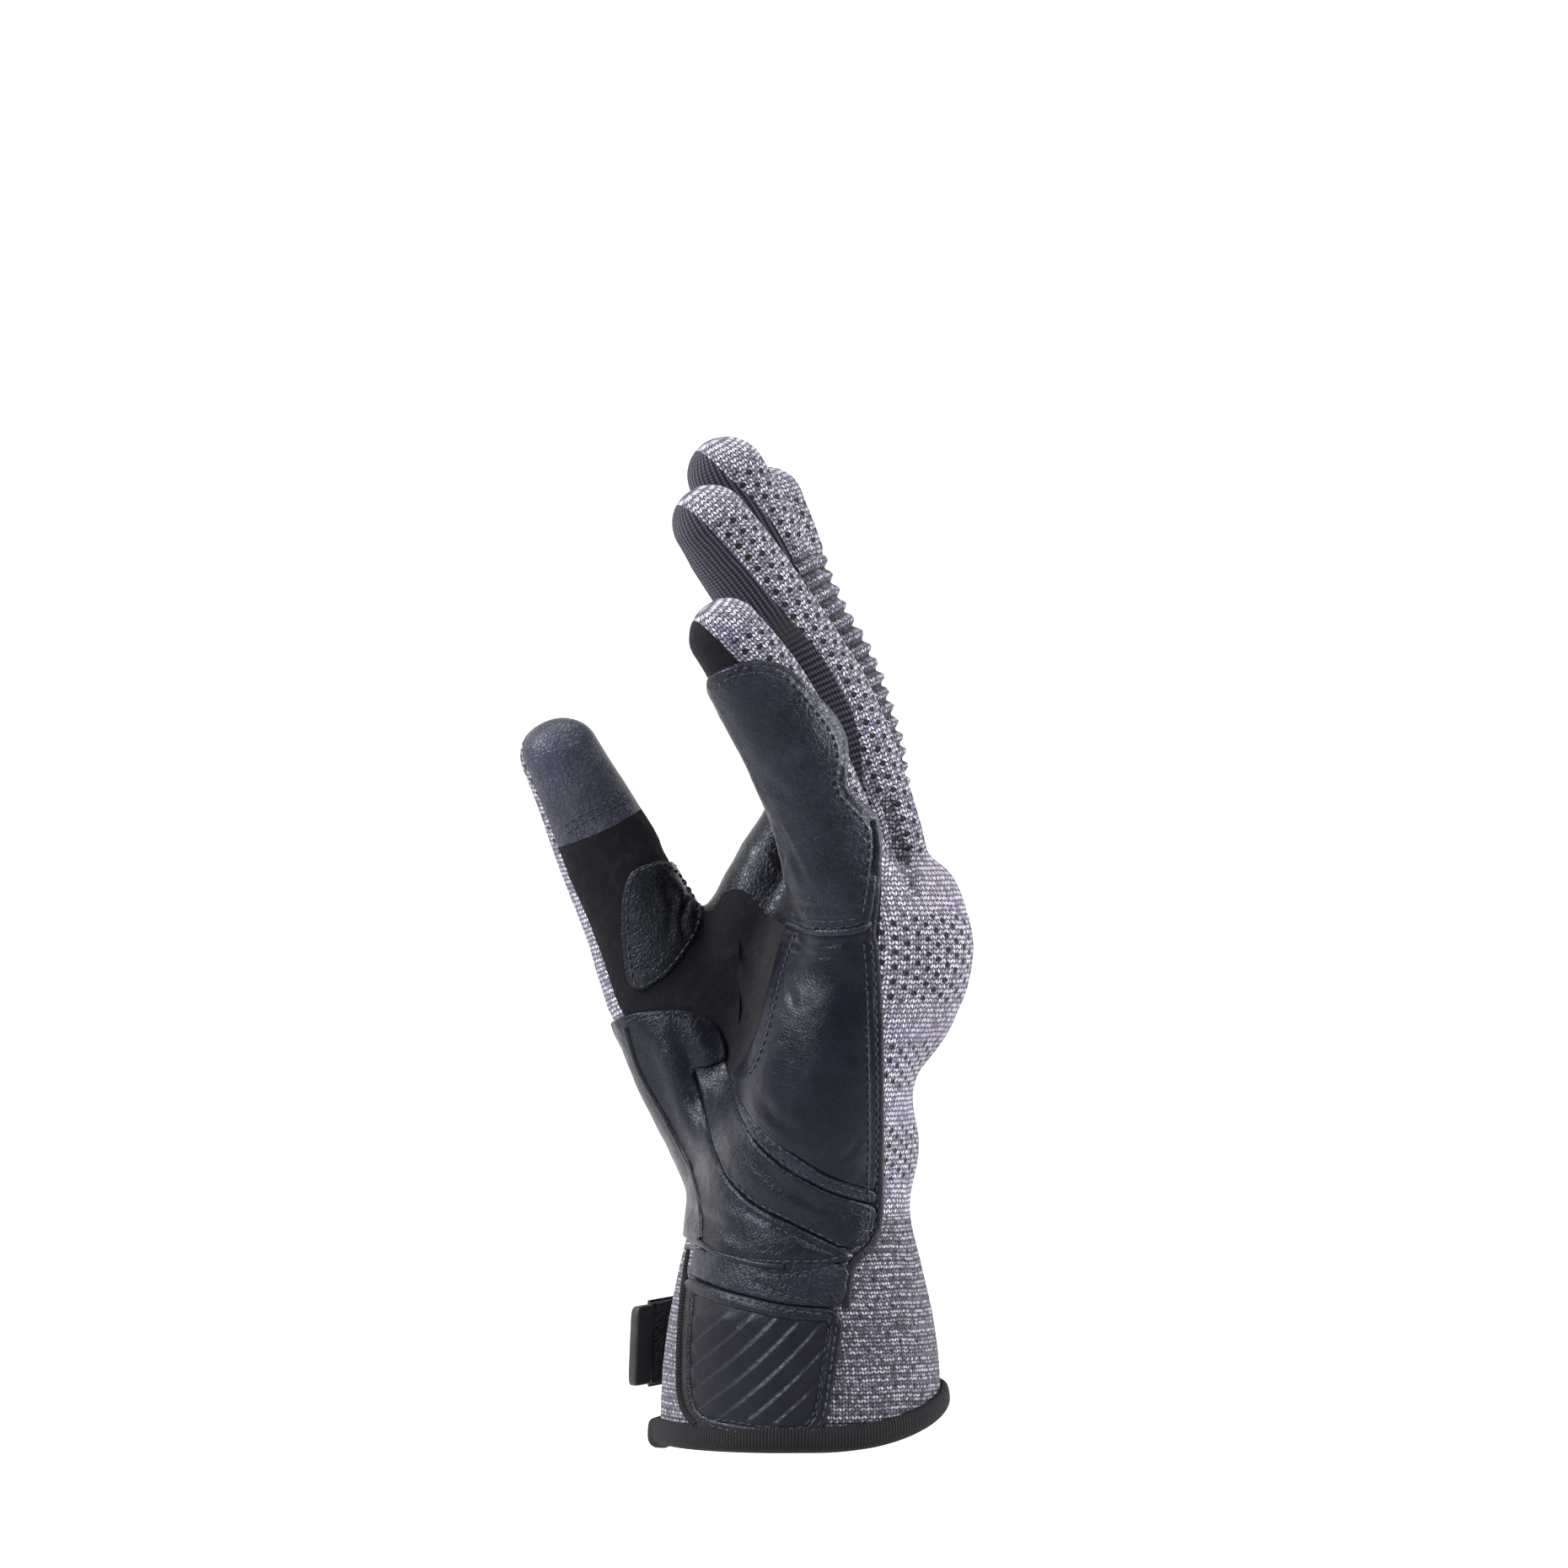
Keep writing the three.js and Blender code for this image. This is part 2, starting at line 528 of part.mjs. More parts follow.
// Panels sewn on top of the wall, each one clear of those before it.
const raised = (thick) => hand(GAP + thick).subtract(hand(GAP));
let free = raised(OVERLAY);
const colours = { heel_pad: DARK, thumb_patch: LEATHER };
for (const [name, panel] of Object.entries(PANELS)) {
  const points = panelPoints(panel);
  let cut = sideCut(points, panel.far);
  let clear = sideCut(grown(points, GAP), panel.far + GAP / PALM_WIDTH);
  if (panel.follow) {
    const half = { from: -0.3, turn: -90 - SIDE_TURN, sink: 0.1 };
    cut = cut.intersect(alongDigit(DIGITS[panel.follow], half));
    clear = clear.intersect(alongDigit(DIGITS[panel.follow], { ...half, gap: GAP }));
  }
  const piece = free.intersect(cut);
  free = free.subtract(clear);
  if (name !== "wrist_tab") {
    place(name, piece, colours[name] ?? LEATHER);
    continue;
  }
  // The tab is bound round its edge and ribbed from lower palm side to upper back side.
  const inner = sideCut(grown(points, -TAB_RIM), panel.far);
  place("tab_binding", piece.subtract(inner), BLACK);
  const field = sideCut(grown(points, -TAB_RIM - GAP), panel.far);
  const low = points.reduce((least, p) => Math.min(least, p.y), FAR);
  const high = points.reduce((most, p) => Math.max(most, p.y), 0);
  const pitch = (high - low) / (TAB_RIBS - 2);
  const ribs = [];
  for (let i = 0; i < TAB_RIBS; i++) {
    const z = low - 1.2 * pitch + i * pitch;
    const [left, right] = [points[0].x, points[2].x];
    const slope = right - left;
    ribs.push(
      sideCut(
        [[left, z], [right, z + slope], [right, z + slope + pitch * 0.55], [left, z + pitch * 0.55]].map(
          ([x, y]) => new THREE.Vector2(x, y),
        ),
        panel.far,
      ),
    );
  }
  const ribbed = raised(OVERLAY + TAB_RIB_THICK).intersect(union(...ribs));
  place("wrist_tab", union(piece, ribbed).intersect(field), DARK);
}

// Strap round the thumb side of the cuff, its end standing off the palm side.
const strapBand = raised(STRAP_THICK).intersect(slab(STRAP_UP, STRAP_UP + STRAP_HEIGHT));
const STRAP_LEAVES = [-0.3, 1.01]; // where it leaves the cuff, in shares of half its depth and width
const STRAP_AIM = 22; // degrees round from straight towards the palm
const leave = new THREE.Vector2((STRAP_LEAVES[0] * OPENING_DEPTH) / 2, (STRAP_LEAVES[1] * OPENING_WIDTH) / 2);
const aim = new THREE.Vector2(-Math.cos(radians(STRAP_AIM)), -Math.sin(radians(STRAP_AIM)));
const beside = new THREE.Vector2(-aim.y, aim.x).negate();
function tongue(from, to) {
  const at = (run, off) => leave.clone().addScaledVector(aim, run).addScaledVector(beside, off);
  const outline = [at(from, 0), at(to, 0), at(to, STRAP_THICK), at(from, STRAP_THICK)];
  const bar = new THREE.ExtrudeGeometry(new THREE.Shape(outline), { depth: STRAP_HEIGHT, bevelEnabled: false });
  return solidOf(bar.translate(0, 0, STRAP_UP));
}
const STRAP_ROOM = OPENING_DEPTH / 2; // length of the band before the free end
const strapStart = throughCut(
  [[-STRAP_LAP, 0], [STRAP_ROOM, 0], [STRAP_ROOM, FAR], [-STRAP_LAP, FAR]].map(
    ([x, z]) => new THREE.Vector2(leave.x + x, z),
  ),
);
const thumbHalf = solidOf(new THREE.BoxGeometry(FAR, FAR, FAR).translate(0, FAR / 2, 0));
const strapEnd = STRAP_FREE - STRAP_TIP;
const strap = union(strapBand.intersect(strapStart).intersect(thumbHalf), tongue(-STRAP_LAP, strapEnd));
place("strap", strap.subtract(hand(GAP)), BLACK);
place("strap_tip", tongue(strapEnd + GAP, STRAP_FREE + GAP), BLACK);

export default group;
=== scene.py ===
import math

import bpy
import numpy as np
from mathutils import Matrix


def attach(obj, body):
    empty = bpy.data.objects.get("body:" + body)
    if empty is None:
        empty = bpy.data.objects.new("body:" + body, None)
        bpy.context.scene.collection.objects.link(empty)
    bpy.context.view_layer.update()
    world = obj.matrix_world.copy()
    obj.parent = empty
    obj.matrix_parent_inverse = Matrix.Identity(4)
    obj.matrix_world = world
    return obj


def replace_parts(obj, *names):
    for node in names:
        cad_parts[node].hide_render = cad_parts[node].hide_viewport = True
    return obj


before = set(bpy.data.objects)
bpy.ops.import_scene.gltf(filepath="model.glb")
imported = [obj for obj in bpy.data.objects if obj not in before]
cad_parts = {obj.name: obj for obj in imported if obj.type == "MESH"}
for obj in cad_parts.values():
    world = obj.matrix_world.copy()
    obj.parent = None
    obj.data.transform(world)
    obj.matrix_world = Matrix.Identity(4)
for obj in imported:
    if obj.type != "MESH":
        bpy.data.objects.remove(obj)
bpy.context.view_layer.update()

import openvdb
from mathutils import Vector
from mathutils.bvhtree import BVHTree

# All lengths are in mm until a mesh is written, in the frame of the CAD: origin at the middle of the
# wrist opening, +Z to the fingertips, +X to the back of the hand, +Y to the thumb side.
CUFF_HEIGHT, PALM_HEIGHT = 57.0, 84.0
OPENING_WIDTH, OPENING_DEPTH = 76.0, 67.0
WRIST_WIDTH, WRIST_DEPTH = 66.0, 51.0
PALM_WIDTH, PALM_DEPTH = 88.0, 40.0
HEM_RISE = 10.5
FINE, COARSE = 0.62, 1.7  # grid pitch of the skin and of the inner face
WALL = 1.3  # how far inside the skin the inner face lies
TURN = math.radians(15)  # how far the camera stands round towards the palm
CT, ST = math.cos(TURN), math.sin(TURN)
DIGIT_POWER, HAND_POWER = 2.2, 2.35  # roundness of the sections
PER_MM, MID_X, MID_Z = 4.8, 950.0, 1712.0  # picture points to the side view in mm

rng = np.random.RandomState(7)


def palm_z(share):
    return CUFF_HEIGHT + share * PALM_HEIGHT


# The form of the hand, the fingers and the thumb.


def smooth_table(xs, ys, n=400):
    """Dense samples of a smooth curve through the rows of a table."""
    xs, ys = np.asarray(xs, float), np.asarray(ys, float)
    slope = np.gradient(ys, xs)
    t = np.linspace(xs[0], xs[-1], n)
    i = np.clip(np.searchsorted(xs, t, "right") - 1, 0, len(xs) - 2)
    h = xs[i + 1] - xs[i]
    u = (t - xs[i]) / h
    a, b = 2 * u**3 - 3 * u**2 + 1, u**3 - 2 * u**2 + u
    c, d = -2 * u**3 + 3 * u**2, u**3 - u**2
    return t, a * ys[i] + b * h * slope[i] + c * ys[i + 1] + d * h * slope[i + 1]


def ease(x, low, high):
    t = np.clip((x - low) / (high - low), 0, 1)
    return t * t * (3 - 2 * t)


def power_sum(u, v, p):
    return (np.abs(u) ** p + np.abs(v) ** p) ** (1 / p)


def depth_of(r, rho):
    """Distance along the radius to the surface where rho is 1."""
    rho = np.maximum(rho, 1e-4)
    return np.where(rho > 1e-3, r - r / rho, r - 10.0)


class Digit:
    """A finger, the thumb or the web: a bent tube of superellipses with round ends."""

    tip_share, root_cap, n = 0.44, 8.0, 500

    def __init__(self, root, length, lean, fan, width, depth, rows):
        n = self.n
        self.width, self.depth, self.length = width, depth, length
        self.tip = self.tip_share * width
        self.straight = length - self.tip
        s = np.linspace(0, length, n + 1)
        down = np.radians(lean[0] + (lean[1] - lean[0]) * s / length)
        turn = np.radians(fan[0] + (fan[1] - fan[0]) * s / length)
        h = np.stack([-np.sin(down), np.tan(turn), np.cos(down)], 1)
        h /= np.linalg.norm(h, axis=1)[:, None]
        p = np.zeros((n + 1, 3))
        p[0] = root[0] * PALM_DEPTH, root[1] * PALM_WIDTH, palm_z(root[2])
        p[1:] = p[0] + np.cumsum((h[1:] + h[:-1]) / 2 * (length / n), 0)
        self.s, self.p, self.h = s, p, h
        aside = np.array([0, 1.0, 0])[None] - h * h[:, 1:2]
        self.aside = aside / np.linalg.norm(aside, axis=1)[:, None]
        self.back = np.cross(self.aside, h)
        along = [r[0] for r in rows]
        t, wide = smooth_table(along, [r[1] for r in rows])
        _, deep = smooth_table(along, [r[2] for r in rows])
        self.rt, self.ra, self.rb = t * self.straight, deep * depth / 2, wide * width / 2

    def at(self, s, what):
        table = getattr(self, what)
        return np.stack([np.interp(s, self.s, table[:, k]) for k in range(3)], -1)

    def local(self, q):
        """Along, back, aside and the excess past either end, of points."""
        s = np.interp(q[:, 2], self.p[:, 2], self.s)
        for _ in range(4):
            d = q - self.at(s, "p")
            s = s + 0.9 * (d * self.at(s, "h")).sum(1)
            s = np.clip(s, 0, self.straight)
        d = q - self.at(s, "p")
        u, v, w = ((d * self.at(s, axis)).sum(1) for axis in ("back", "aside", "h"))
        return s, u, v, w

    def field(self, q):
        s, u, v, w = self.local(q)
        a, b = np.interp(s, self.rt, self.ra), np.interp(s, self.rt, self.rb)
        side = power_sum(u / a, v / b, DIGIT_POWER)
        w = np.where(np.abs(w) < 1e-3, 0, w)
        end = np.where(w > 0, w / self.tip, w / self.root_cap)
        rho = np.sqrt(side**2 + end**2)
        r = np.sqrt(u * u + v * v + w * w)
        return depth_of(r, rho)

    def box(self, pad):
        r = max(self.ra.max(), self.rb.max()) + pad
        return self.p.min(0) - r, self.p.max(0) + r


# Rows along a digit: share of the length, width and depth as shares of its own.
FINGER_ROWS = [
    (0, 0.78, 0.82), (0.16, 1.0, 1.06), (0.4, 1.0, 1.0), (0.64, 0.98, 0.98), (0.84, 0.95, 0.95),
    (1, 0.86, 0.84),
]
THUMB_ROWS = [
    (0, 0.9, 0.9), (0.08, 1.4, 1.4), (0.26, 1.5, 1.5), (0.42, 1.35, 1.36), (0.6, 1.16, 1.14),
    (0.85, 1.03, 1.0), (1, 0.89, 0.86),
]
WEB_ROWS = [(0, 1, 1), (0.5, 0.98, 0.96), (1, 0.78, 0.7)]
FINGERS = {  # root in shares of the palm, length, lean, fan, width, depth
    "little": Digit((0.117, -0.389, 0.774), 94, (8, 42), (-2, -1), 20.4, 22.0, FINGER_ROWS),
    "ring": Digit((0.472, -0.132, 0.845), 119, (12, 39), (0, 0), 21.4, 22.8, FINGER_ROWS),
    "middle": Digit((0.556, 0.13, 0.87), 126, (10, 30), (0, 0), 21.6, 23.0, FINGER_ROWS),
    "index": Digit((0.62, 0.389, 0.845), 117, (8, 18), (2, 1), 20.6, 21.8, FINGER_ROWS),
}
THUMB = Digit((-0.08, 0.2, 0.06), 130, (20, 29), (19, -4), 21.6, 22.0, THUMB_ROWS)
WEB = Digit((-0.3, 0.32, 0.655), 54, (-24, -21), (2, 2), 23, 23, WEB_ROWS)

# Rows up the cuff: height and how much of the opening's size is left over the wrist's.
CUFF_ROWS = [(-0.06, 1.0), (0.24, 0.98), (0.52, 0.78), (0.76, 0.4), (1.0, 0.02)]
PALM_ROWS = [  # height, width, centre, back, front, drop at the little finger's edge
    (0.13, 0.1, 0.01, 0.64, 0.62, 0.0), (0.25, 0.3, 0.07, 0.6, 0.6, 0.03),
    (0.4, 0.62, 0.16, 0.55, 0.55, 0.09), (0.56, 0.85, 0.25, 0.54, 0.53, 0.16),
    (0.72, 0.97, 0.34, 0.51, 0.53, 0.21), (0.86, 1.0, 0.4, 0.45, 0.48, 0.25),
    (0.97, 0.96, 0.41, 0.36, 0.36, 0.26),
]
rows = []
for up, m in CUFF_ROWS:
    half = (WRIST_DEPTH + (OPENING_DEPTH - WRIST_DEPTH) * m) / 2
    rows.append((up * CUFF_HEIGHT, 0, half, half, (WRIST_WIDTH + (OPENING_WIDTH - WRIST_WIDTH) * m) / 2, 0))
for up, m, centre, back, front, drop in PALM_ROWS:
    side = (WRIST_WIDTH + (PALM_WIDTH - WRIST_WIDTH) * m) / 2
    centre, back, front, drop = (share * PALM_DEPTH for share in (centre, back, front, drop))
    rows.append((palm_z(up), centre, back, front, side, drop))
rows = np.array(rows)
HAND_Z = smooth_table(rows[:, 0], rows[:, 1])[0]
HAND = np.stack([smooth_table(rows[:, 0], rows[:, k])[1] for k in range(1, 6)], 1)
TOP_Z, TOP_CAP = rows[-1, 0], 5.5


def hand_row(z):
    """Centre, back, front, side and drop at these heights."""
    return [np.interp(z, HAND_Z, HAND[:, k]) for k in range(5)]


def hand_local(q):
    """Places of points in the hand's section, as shares of its half sizes, and the mm behind the centre."""
    centre, back, front, side, drop = hand_row(q[:, 2])
    along = q[:, 1] / side
    fall = drop * np.minimum(along**2, 1.4) * np.where(along < 0, 1, 0.3)
    x = q[:, 0] - centre + fall
    return x / np.where(x > 0, back, front), along, x


def hand_field(q):
    across, along, x = hand_local(q)
    w = np.maximum(q[:, 2] - TOP_Z, 0)
    rho = np.sqrt(power_sum(across, along, HAND_POWER) ** 2 + (w / TOP_CAP) ** 2)
    return depth_of(np.sqrt(x * x + q[:, 1] ** 2 + w * w), rho)


class Egg:
    """A pad: an ellipsoid whose place and radii are shares of the palm."""

    def __init__(self, at, radii, rise=0.0):
        self.c = np.array([at[0] * PALM_DEPTH, at[1] * PALM_WIDTH, palm_z(at[2])])
        self.r = np.array([radii[0] * PALM_DEPTH + rise, radii[1] * PALM_WIDTH, radii[2] * PALM_HEIGHT])

    def field(self, q):
        d = q - self.c
        return depth_of(np.linalg.norm(d, axis=1), np.linalg.norm(d / self.r, axis=1))

    def box(self, pad):
        return self.c - self.r - pad, self.c + self.r + pad


KNUCKLES = Egg((0.6, 0.0, 0.745), (0.45, 0.41, 0.315), 1.0)
BACK_PAD = Egg((0.36, 0.0, 0.21), (0.375, 0.27, 0.17))
HEEL = Egg((-0.02, -0.27, 0.4), (0.42, 0.205, 0.35))


def merge(a, b, k):
    """Smooth union."""
    h = np.maximum(k - np.abs(a - b), 0)
    return np.minimum(a, b) - h * h / (4 * k)


# Union on a grid, each part only near itself.
LOW = np.array([-68.0, -52.0, -6.0])
HIGH = np.array([50.0, 54.0, 254.0])


class Grid:
    """A regular grid over the whole glove on which the parts' fields are sampled."""

    def __init__(self, pitch):
        self.pitch = pitch
        self.n = np.ceil((HIGH - LOW) / pitch).astype(int)
        self.axes = [LOW[k] + pitch * np.arange(self.n[k]) for k in range(3)]

    def window(self, low, high):
        i = np.clip(np.floor((low - LOW) / self.pitch).astype(int), 0, self.n - 1)
        j = np.clip(np.ceil((high - LOW) / self.pitch).astype(int), 0, self.n)
        return tuple(slice(a, b) for a, b in zip(i, j))

    def sample(self, part, low, high, fill=12.0):
        out = np.full(self.n, fill, np.float32)
        w = self.window(low, high)
        gx, gy, gz = np.meshgrid(*[self.axes[k][w[k]] for k in range(3)], indexing="ij")
        q = np.stack([gx.ravel(), gy.ravel(), gz.ravel()], 1)
        out[w] = np.minimum(part(q).reshape(gx.shape), fill)
        return out


def hand_grid(pitch):
    """The distance field of the whole glove: hand, pads, web, thumb and fingers run into one another."""
    g = Grid(pitch)
    base = g.sample(hand_field, np.array([-52.0, -52, -6]), np.array([50.0, 52, 153]))
    for egg, k in ((KNUCKLES, 9.0), (BACK_PAD, 7.0), (HEEL, 9.0)):
        base = merge(base, g.sample(egg.field, *egg.box(9)), k)
    web = g.sample(WEB.field, *WEB.box(10))
    thumb = g.sample(THUMB.field, *THUMB.box(10))
    base = merge(base, merge(web, thumb, 7.0), 8.0)
    out = base.copy()
    for f in FINGERS.values():
        out = np.minimum(out, merge(base, g.sample(f.field, *f.box(8)), 5.0))
    return g, out


def iso_mesh(g, values, level=0.0):
    grid = openvdb.FloatGrid(background=12.0)
    grid.copyFromArray(values)
    points, tris, quads = grid.convertToPolygons(isovalue=level, adaptivity=0.0)
    v = points.astype(float) * g.pitch + LOW
    t = np.concatenate([quads[:, [0, 1, 2]], quads[:, [0, 2, 3]], tris]).astype(np.int64)
    a, b, c = v[t[:, 0]], v[t[:, 1]], v[t[:, 2]]
    if (np.cross(a, b) * c).sum() < 0:
        t = t[:, ::-1]
    return v, t


def vertex_normals(v, t):
    a, b, c = v[t[:, 0]], v[t[:, 1]], v[t[:, 2]]
    f = np.cross(b - a, c - a)
    n = np.zeros_like(v)
    for k in range(3):
        np.add.at(n, t[:, k], f)
    return n / np.maximum(np.linalg.norm(n, axis=1), 1e-9)[:, None]


def edges_of(t):
    return np.concatenate([t[:, [0, 1]], t[:, [1, 2]], t[:, [2, 0]]])


def relax(v, t, rounds):
    """Evens out the skin, keeping its volume."""
    e = edges_of(t)
    n = np.bincount(e[:, 0], minlength=len(v)) + np.bincount(e[:, 1], minlength=len(v))
    for _ in range(rounds):
        for weight in (0.55, -0.56):
            s = np.zeros_like(v)
            for k in range(3):
                s[:, k] = np.bincount(e[:, 0], v[e[:, 1], k], len(v))
                s[:, k] += np.bincount(e[:, 1], v[e[:, 0], k], len(v))
            v = v + weight * (s / np.maximum(n, 1)[:, None] - v)
    return v


# Skins, and lines in the side view.


class Skin:
    """A triangle mesh with per-vertex data, cut into panels along zero lines."""

    def __init__(self, v, t, data):
        self.v, self.t, self.data = v, t, data

    def clip(self, g):
        """Keeps the part where g is positive, with new points on its zero line."""
        g = np.where(np.abs(g) < 1e-4, 1e-4, g)
        inside = g > 0
        k = inside[self.t].sum(1)
        full, one, two = self.t[k == 3], self.t[k == 1], self.t[k == 2]

        def first(t, want):
            at = np.argmax(inside[t] == want, axis=1)
            r = np.arange(len(t))
            return t[r, at], t[r, (at + 1) % 3], t[r, (at + 2) % 3]

        a1, b1, c1 = first(one, True)
        a2, b2, c2 = first(two, False)
        pairs = np.concatenate([np.stack(pair, 1) for pair in ((a1, b1), (a1, c1), (b2, a2), (c2, a2))])
        n = len(self.v)
        key, inv = np.unique(pairs[:, 0] * n + pairs[:, 1], return_inverse=True)
        i, j = key // n, key % n
        s = (g[i] / (g[i] - g[j]))[:, None]
        new = self.v[i] * (1 - s) + self.v[j] * s
        v = np.concatenate([self.v, new])
        data = {}
        for name, d in self.data.items():
            w = s if d.ndim > 1 else s[:, 0]
            data[name] = np.concatenate([d, d[i] * (1 - w) + d[j] * w])
        m1, m2 = len(one), len(two)
        ab1, ac1 = n + inv[:m1], n + inv[m1 : 2 * m1]
        ba2, ca2 = n + inv[2 * m1 : 2 * m1 + m2], n + inv[2 * m1 + m2 :]
        made = [np.stack(corner, 1) for corner in ((a1, ab1, ac1), (ba2, b2, c2), (ba2, c2, ca2))]
        t = np.concatenate([full, *made])
        used, t = np.unique(t, return_inverse=True)
        return Skin(v[used], t.reshape(-1, 3), {name: d[used] for name, d in data.items()})

    def cut(self, *fields):
        """fields are functions of the skin; what is positive in all of them stays."""
        out = self
        for f in fields:
            out = out.clip(f(out))
        return out

    def largest(self):
        """Drops crumbs."""
        parent = np.arange(len(self.v))
        while True:
            low = parent[self.t].min(1)
            new = parent.copy()
            for k in range(3):
                np.minimum.at(new, parent[self.t[:, k]], low)
                np.minimum.at(new, self.t[:, k], low)
            new = new[new]
            new = new[new]
            if (new == parent).all():
                break
            parent = new
        label = parent[self.t[:, 0]]
        ids, counts = np.unique(label, return_counts=True)
        return self.keep(np.isin(label, ids[counts > 0.04 * counts.max()]))

    def keep(self, faces):
        used, t = np.unique(self.t[faces], return_inverse=True)
        return Skin(self.v[used], t.reshape(-1, 3), {k: d[used] for k, d in self.data.items()})

    def border(self):
        e = edges_of(self.t)
        n = len(self.v)
        key = np.minimum(e[:, 0], e[:, 1]) * n + np.maximum(e[:, 0], e[:, 1])
        _, first, count = np.unique(key, return_index=True, return_counts=True)
        return e[first[count == 1]]

    def hem(self, depth, steps=2):
        """Turns the edge down by depth so that the panel has a visible thickness."""
        e = self.border()
        ring = np.unique(e)
        where = np.full(len(self.v), -1)
        v, t, data = [self.v], [self.t], {k: [d] for k, d in self.data.items()}
        count = len(self.v)
        where[ring] = ring
        up = self.data["n"][ring]
        for i in range(1, steps + 1):
            new = count + np.arange(len(ring))
            v.append(self.v[ring] - up * depth * i / steps)
            for k, d in self.data.items():
                data[k].append(d[ring])
            nxt = np.full(len(self.v), -1)
            nxt[ring] = new
            a, b = e[:, 0], e[:, 1]
            t.append(np.stack([where[b], where[a], nxt[a]], 1))
            t.append(np.stack([where[b], nxt[a], nxt[b]], 1))
            where = nxt
            count += len(ring)
        data = {k: np.concatenate(d) for k, d in data.items()}
        return Skin(np.concatenate(v), np.concatenate(t), data)

    def push(self, amount):
        return Skin(self.v + self.data["n"] * amount[:, None], self.t, self.data)


def side_xz(v):
    """Side view of points: across and up in mm."""
    return np.stack([v[:, 0] * CT - v[:, 1] * ST, v[:, 2]], 1)


def side_depth(v):
    return v[:, 0] * ST + v[:, 1] * CT


def from_px(points):
    """Places in the side view from points of the picture."""
    p = np.asarray(points, float)
    return np.stack([(p[:, 0] - MID_X) / PER_MM, (MID_Z - p[:, 1]) / PER_MM], 1)


def run_along(points):
    """How far along a line each of its points lies."""
    return np.concatenate([[0], np.cumsum(np.linalg.norm(np.diff(points, axis=0), axis=1))])


def rounded(points, step=0.8):
    """A smooth line through a few given points."""
    p = np.asarray(points, float)
    p = np.concatenate([2 * p[:1] - p[1:2], p, 2 * p[-1:] - p[-2:-1]])
    out = []
    for i in range(1, len(p) - 2):
        n = max(2, int(np.linalg.norm(p[i + 1] - p[i]) / step))
        t = np.linspace(0, 1, n, endpoint=False)[:, None]
        a, b, c, d = p[i - 1], p[i], p[i + 1], p[i + 2]
        out.append(
            (2 * t**3 - 3 * t**2 + 1) * b + (t**3 - 2 * t**2 + t) * 0.5 * (c - a)
            + (-2 * t**3 + 3 * t**2) * c + (t**3 - t**2) * 0.5 * (d - b)
        )
    return np.concatenate([*out, p[-2:-1]])


def line_distance(q, line, closed=False):
    """Distance of 2-D points to a line, and how far along it the nearest place is."""
    a = line
    b = np.roll(line, -1, 0) if closed else line[1:]
    a = a if closed else line[:-1]
    best = np.full(len(q), 1e9)
    where = np.zeros(len(q))
    run = np.concatenate([[0], np.cumsum(np.linalg.norm(b - a, axis=1))])
    for i in range(len(a)):
        ab = b[i] - a[i]
        length = max(ab @ ab, 1e-12)
        s = np.clip(((q - a[i]) @ ab) / length, 0, 1)
        d = np.linalg.norm(q - a[i] - s[:, None] * ab, axis=1)
        closer = d < best
        best[closer] = d[closer]
        where[closer] = run[i] + s[closer] * math.sqrt(length)
    return best, where


def in_outline(q, line):
    """True for the points inside a closed line."""
    x, y = q[:, 0], q[:, 1]
    inside = np.zeros(len(q), bool)
    j = len(line) - 1
    for i in range(len(line)):
        (xi, yi), (xj, yj) = line[i], line[j]
        cross = (yi > y) != (yj > y)
        with np.errstate(divide="ignore", invalid="ignore"):
            inside ^= cross & (x < (xj - xi) * (y - yi) / (yj - yi) + xi)
        j = i
    return inside


def outline_field(line):
    """Positive inside an outline of the side view, by its distance in mm."""

    def field(skin):
        q = side_xz(skin.v)
        low, high = line.min(0) - 6, line.max(0) + 6
        close = ((q > low) & (q < high)).all(1)
        g = np.full(len(q), -6.0)
        d, _ = line_distance(q[close], line, True)
        g[close] = np.where(in_outline(q[close], line), d, -d)
        return g

    return field


def values_noise(q, size, seed):
    """Smooth value noise between -1 and 1."""
    lattice = np.random.RandomState(seed).uniform(-1, 1, (32, 32, 32))
    p = q / size
    i = np.floor(p).astype(int)
    f = p - i
    f = f * f * (3 - 2 * f)
    out = 0
    for corner in np.ndindex(2, 2, 2):
        w = np.prod(np.where(corner, f, 1 - f), 1)
        out = out + w * lattice[tuple(((i + corner) % 32).T)]
    return out


# The skin of the whole glove and what is known at each of its points.

V, T = iso_mesh(*hand_grid(FINE))
V = relax(V, T, 2)
N = vertex_normals(V, T)
print("skin", len(V), len(T))

PARTS = dict(FINGERS, thumb=THUMB, web=WEB)
fields = {name: part.field(V) for name, part in PARTS.items()}
fields["hand"] = hand_field(V)
owner = np.argmin(np.stack(list(fields.values()), 1), 1)
data = {"n": N, **{"d_" + name: values for name, values in fields.items()}}


def hem_z(x):
    """Height of the hem across the depth of the hand."""
    xs = np.array([-1.5, -0.35, 0.0, 0.4, 0.75, 1.03, 1.5]) * OPENING_DEPTH / 2
    zs = np.array([0.02, 0.0, 0.02, 0.2, 0.56, 1.0, 1.8]) * HEM_RISE
    return np.interp(x, *smooth_table(xs, zs))


def seam_x(z):
    """Seam between the palm and the back, across the depth of the hand."""
    return np.interp(z, [30, 57, 70, 91, 124, 141, 150], [13.5, 12, 10.8, 9.2, 7.6, 8.4, 9.5])


FINGER_PLANE = palm_z(1.06)


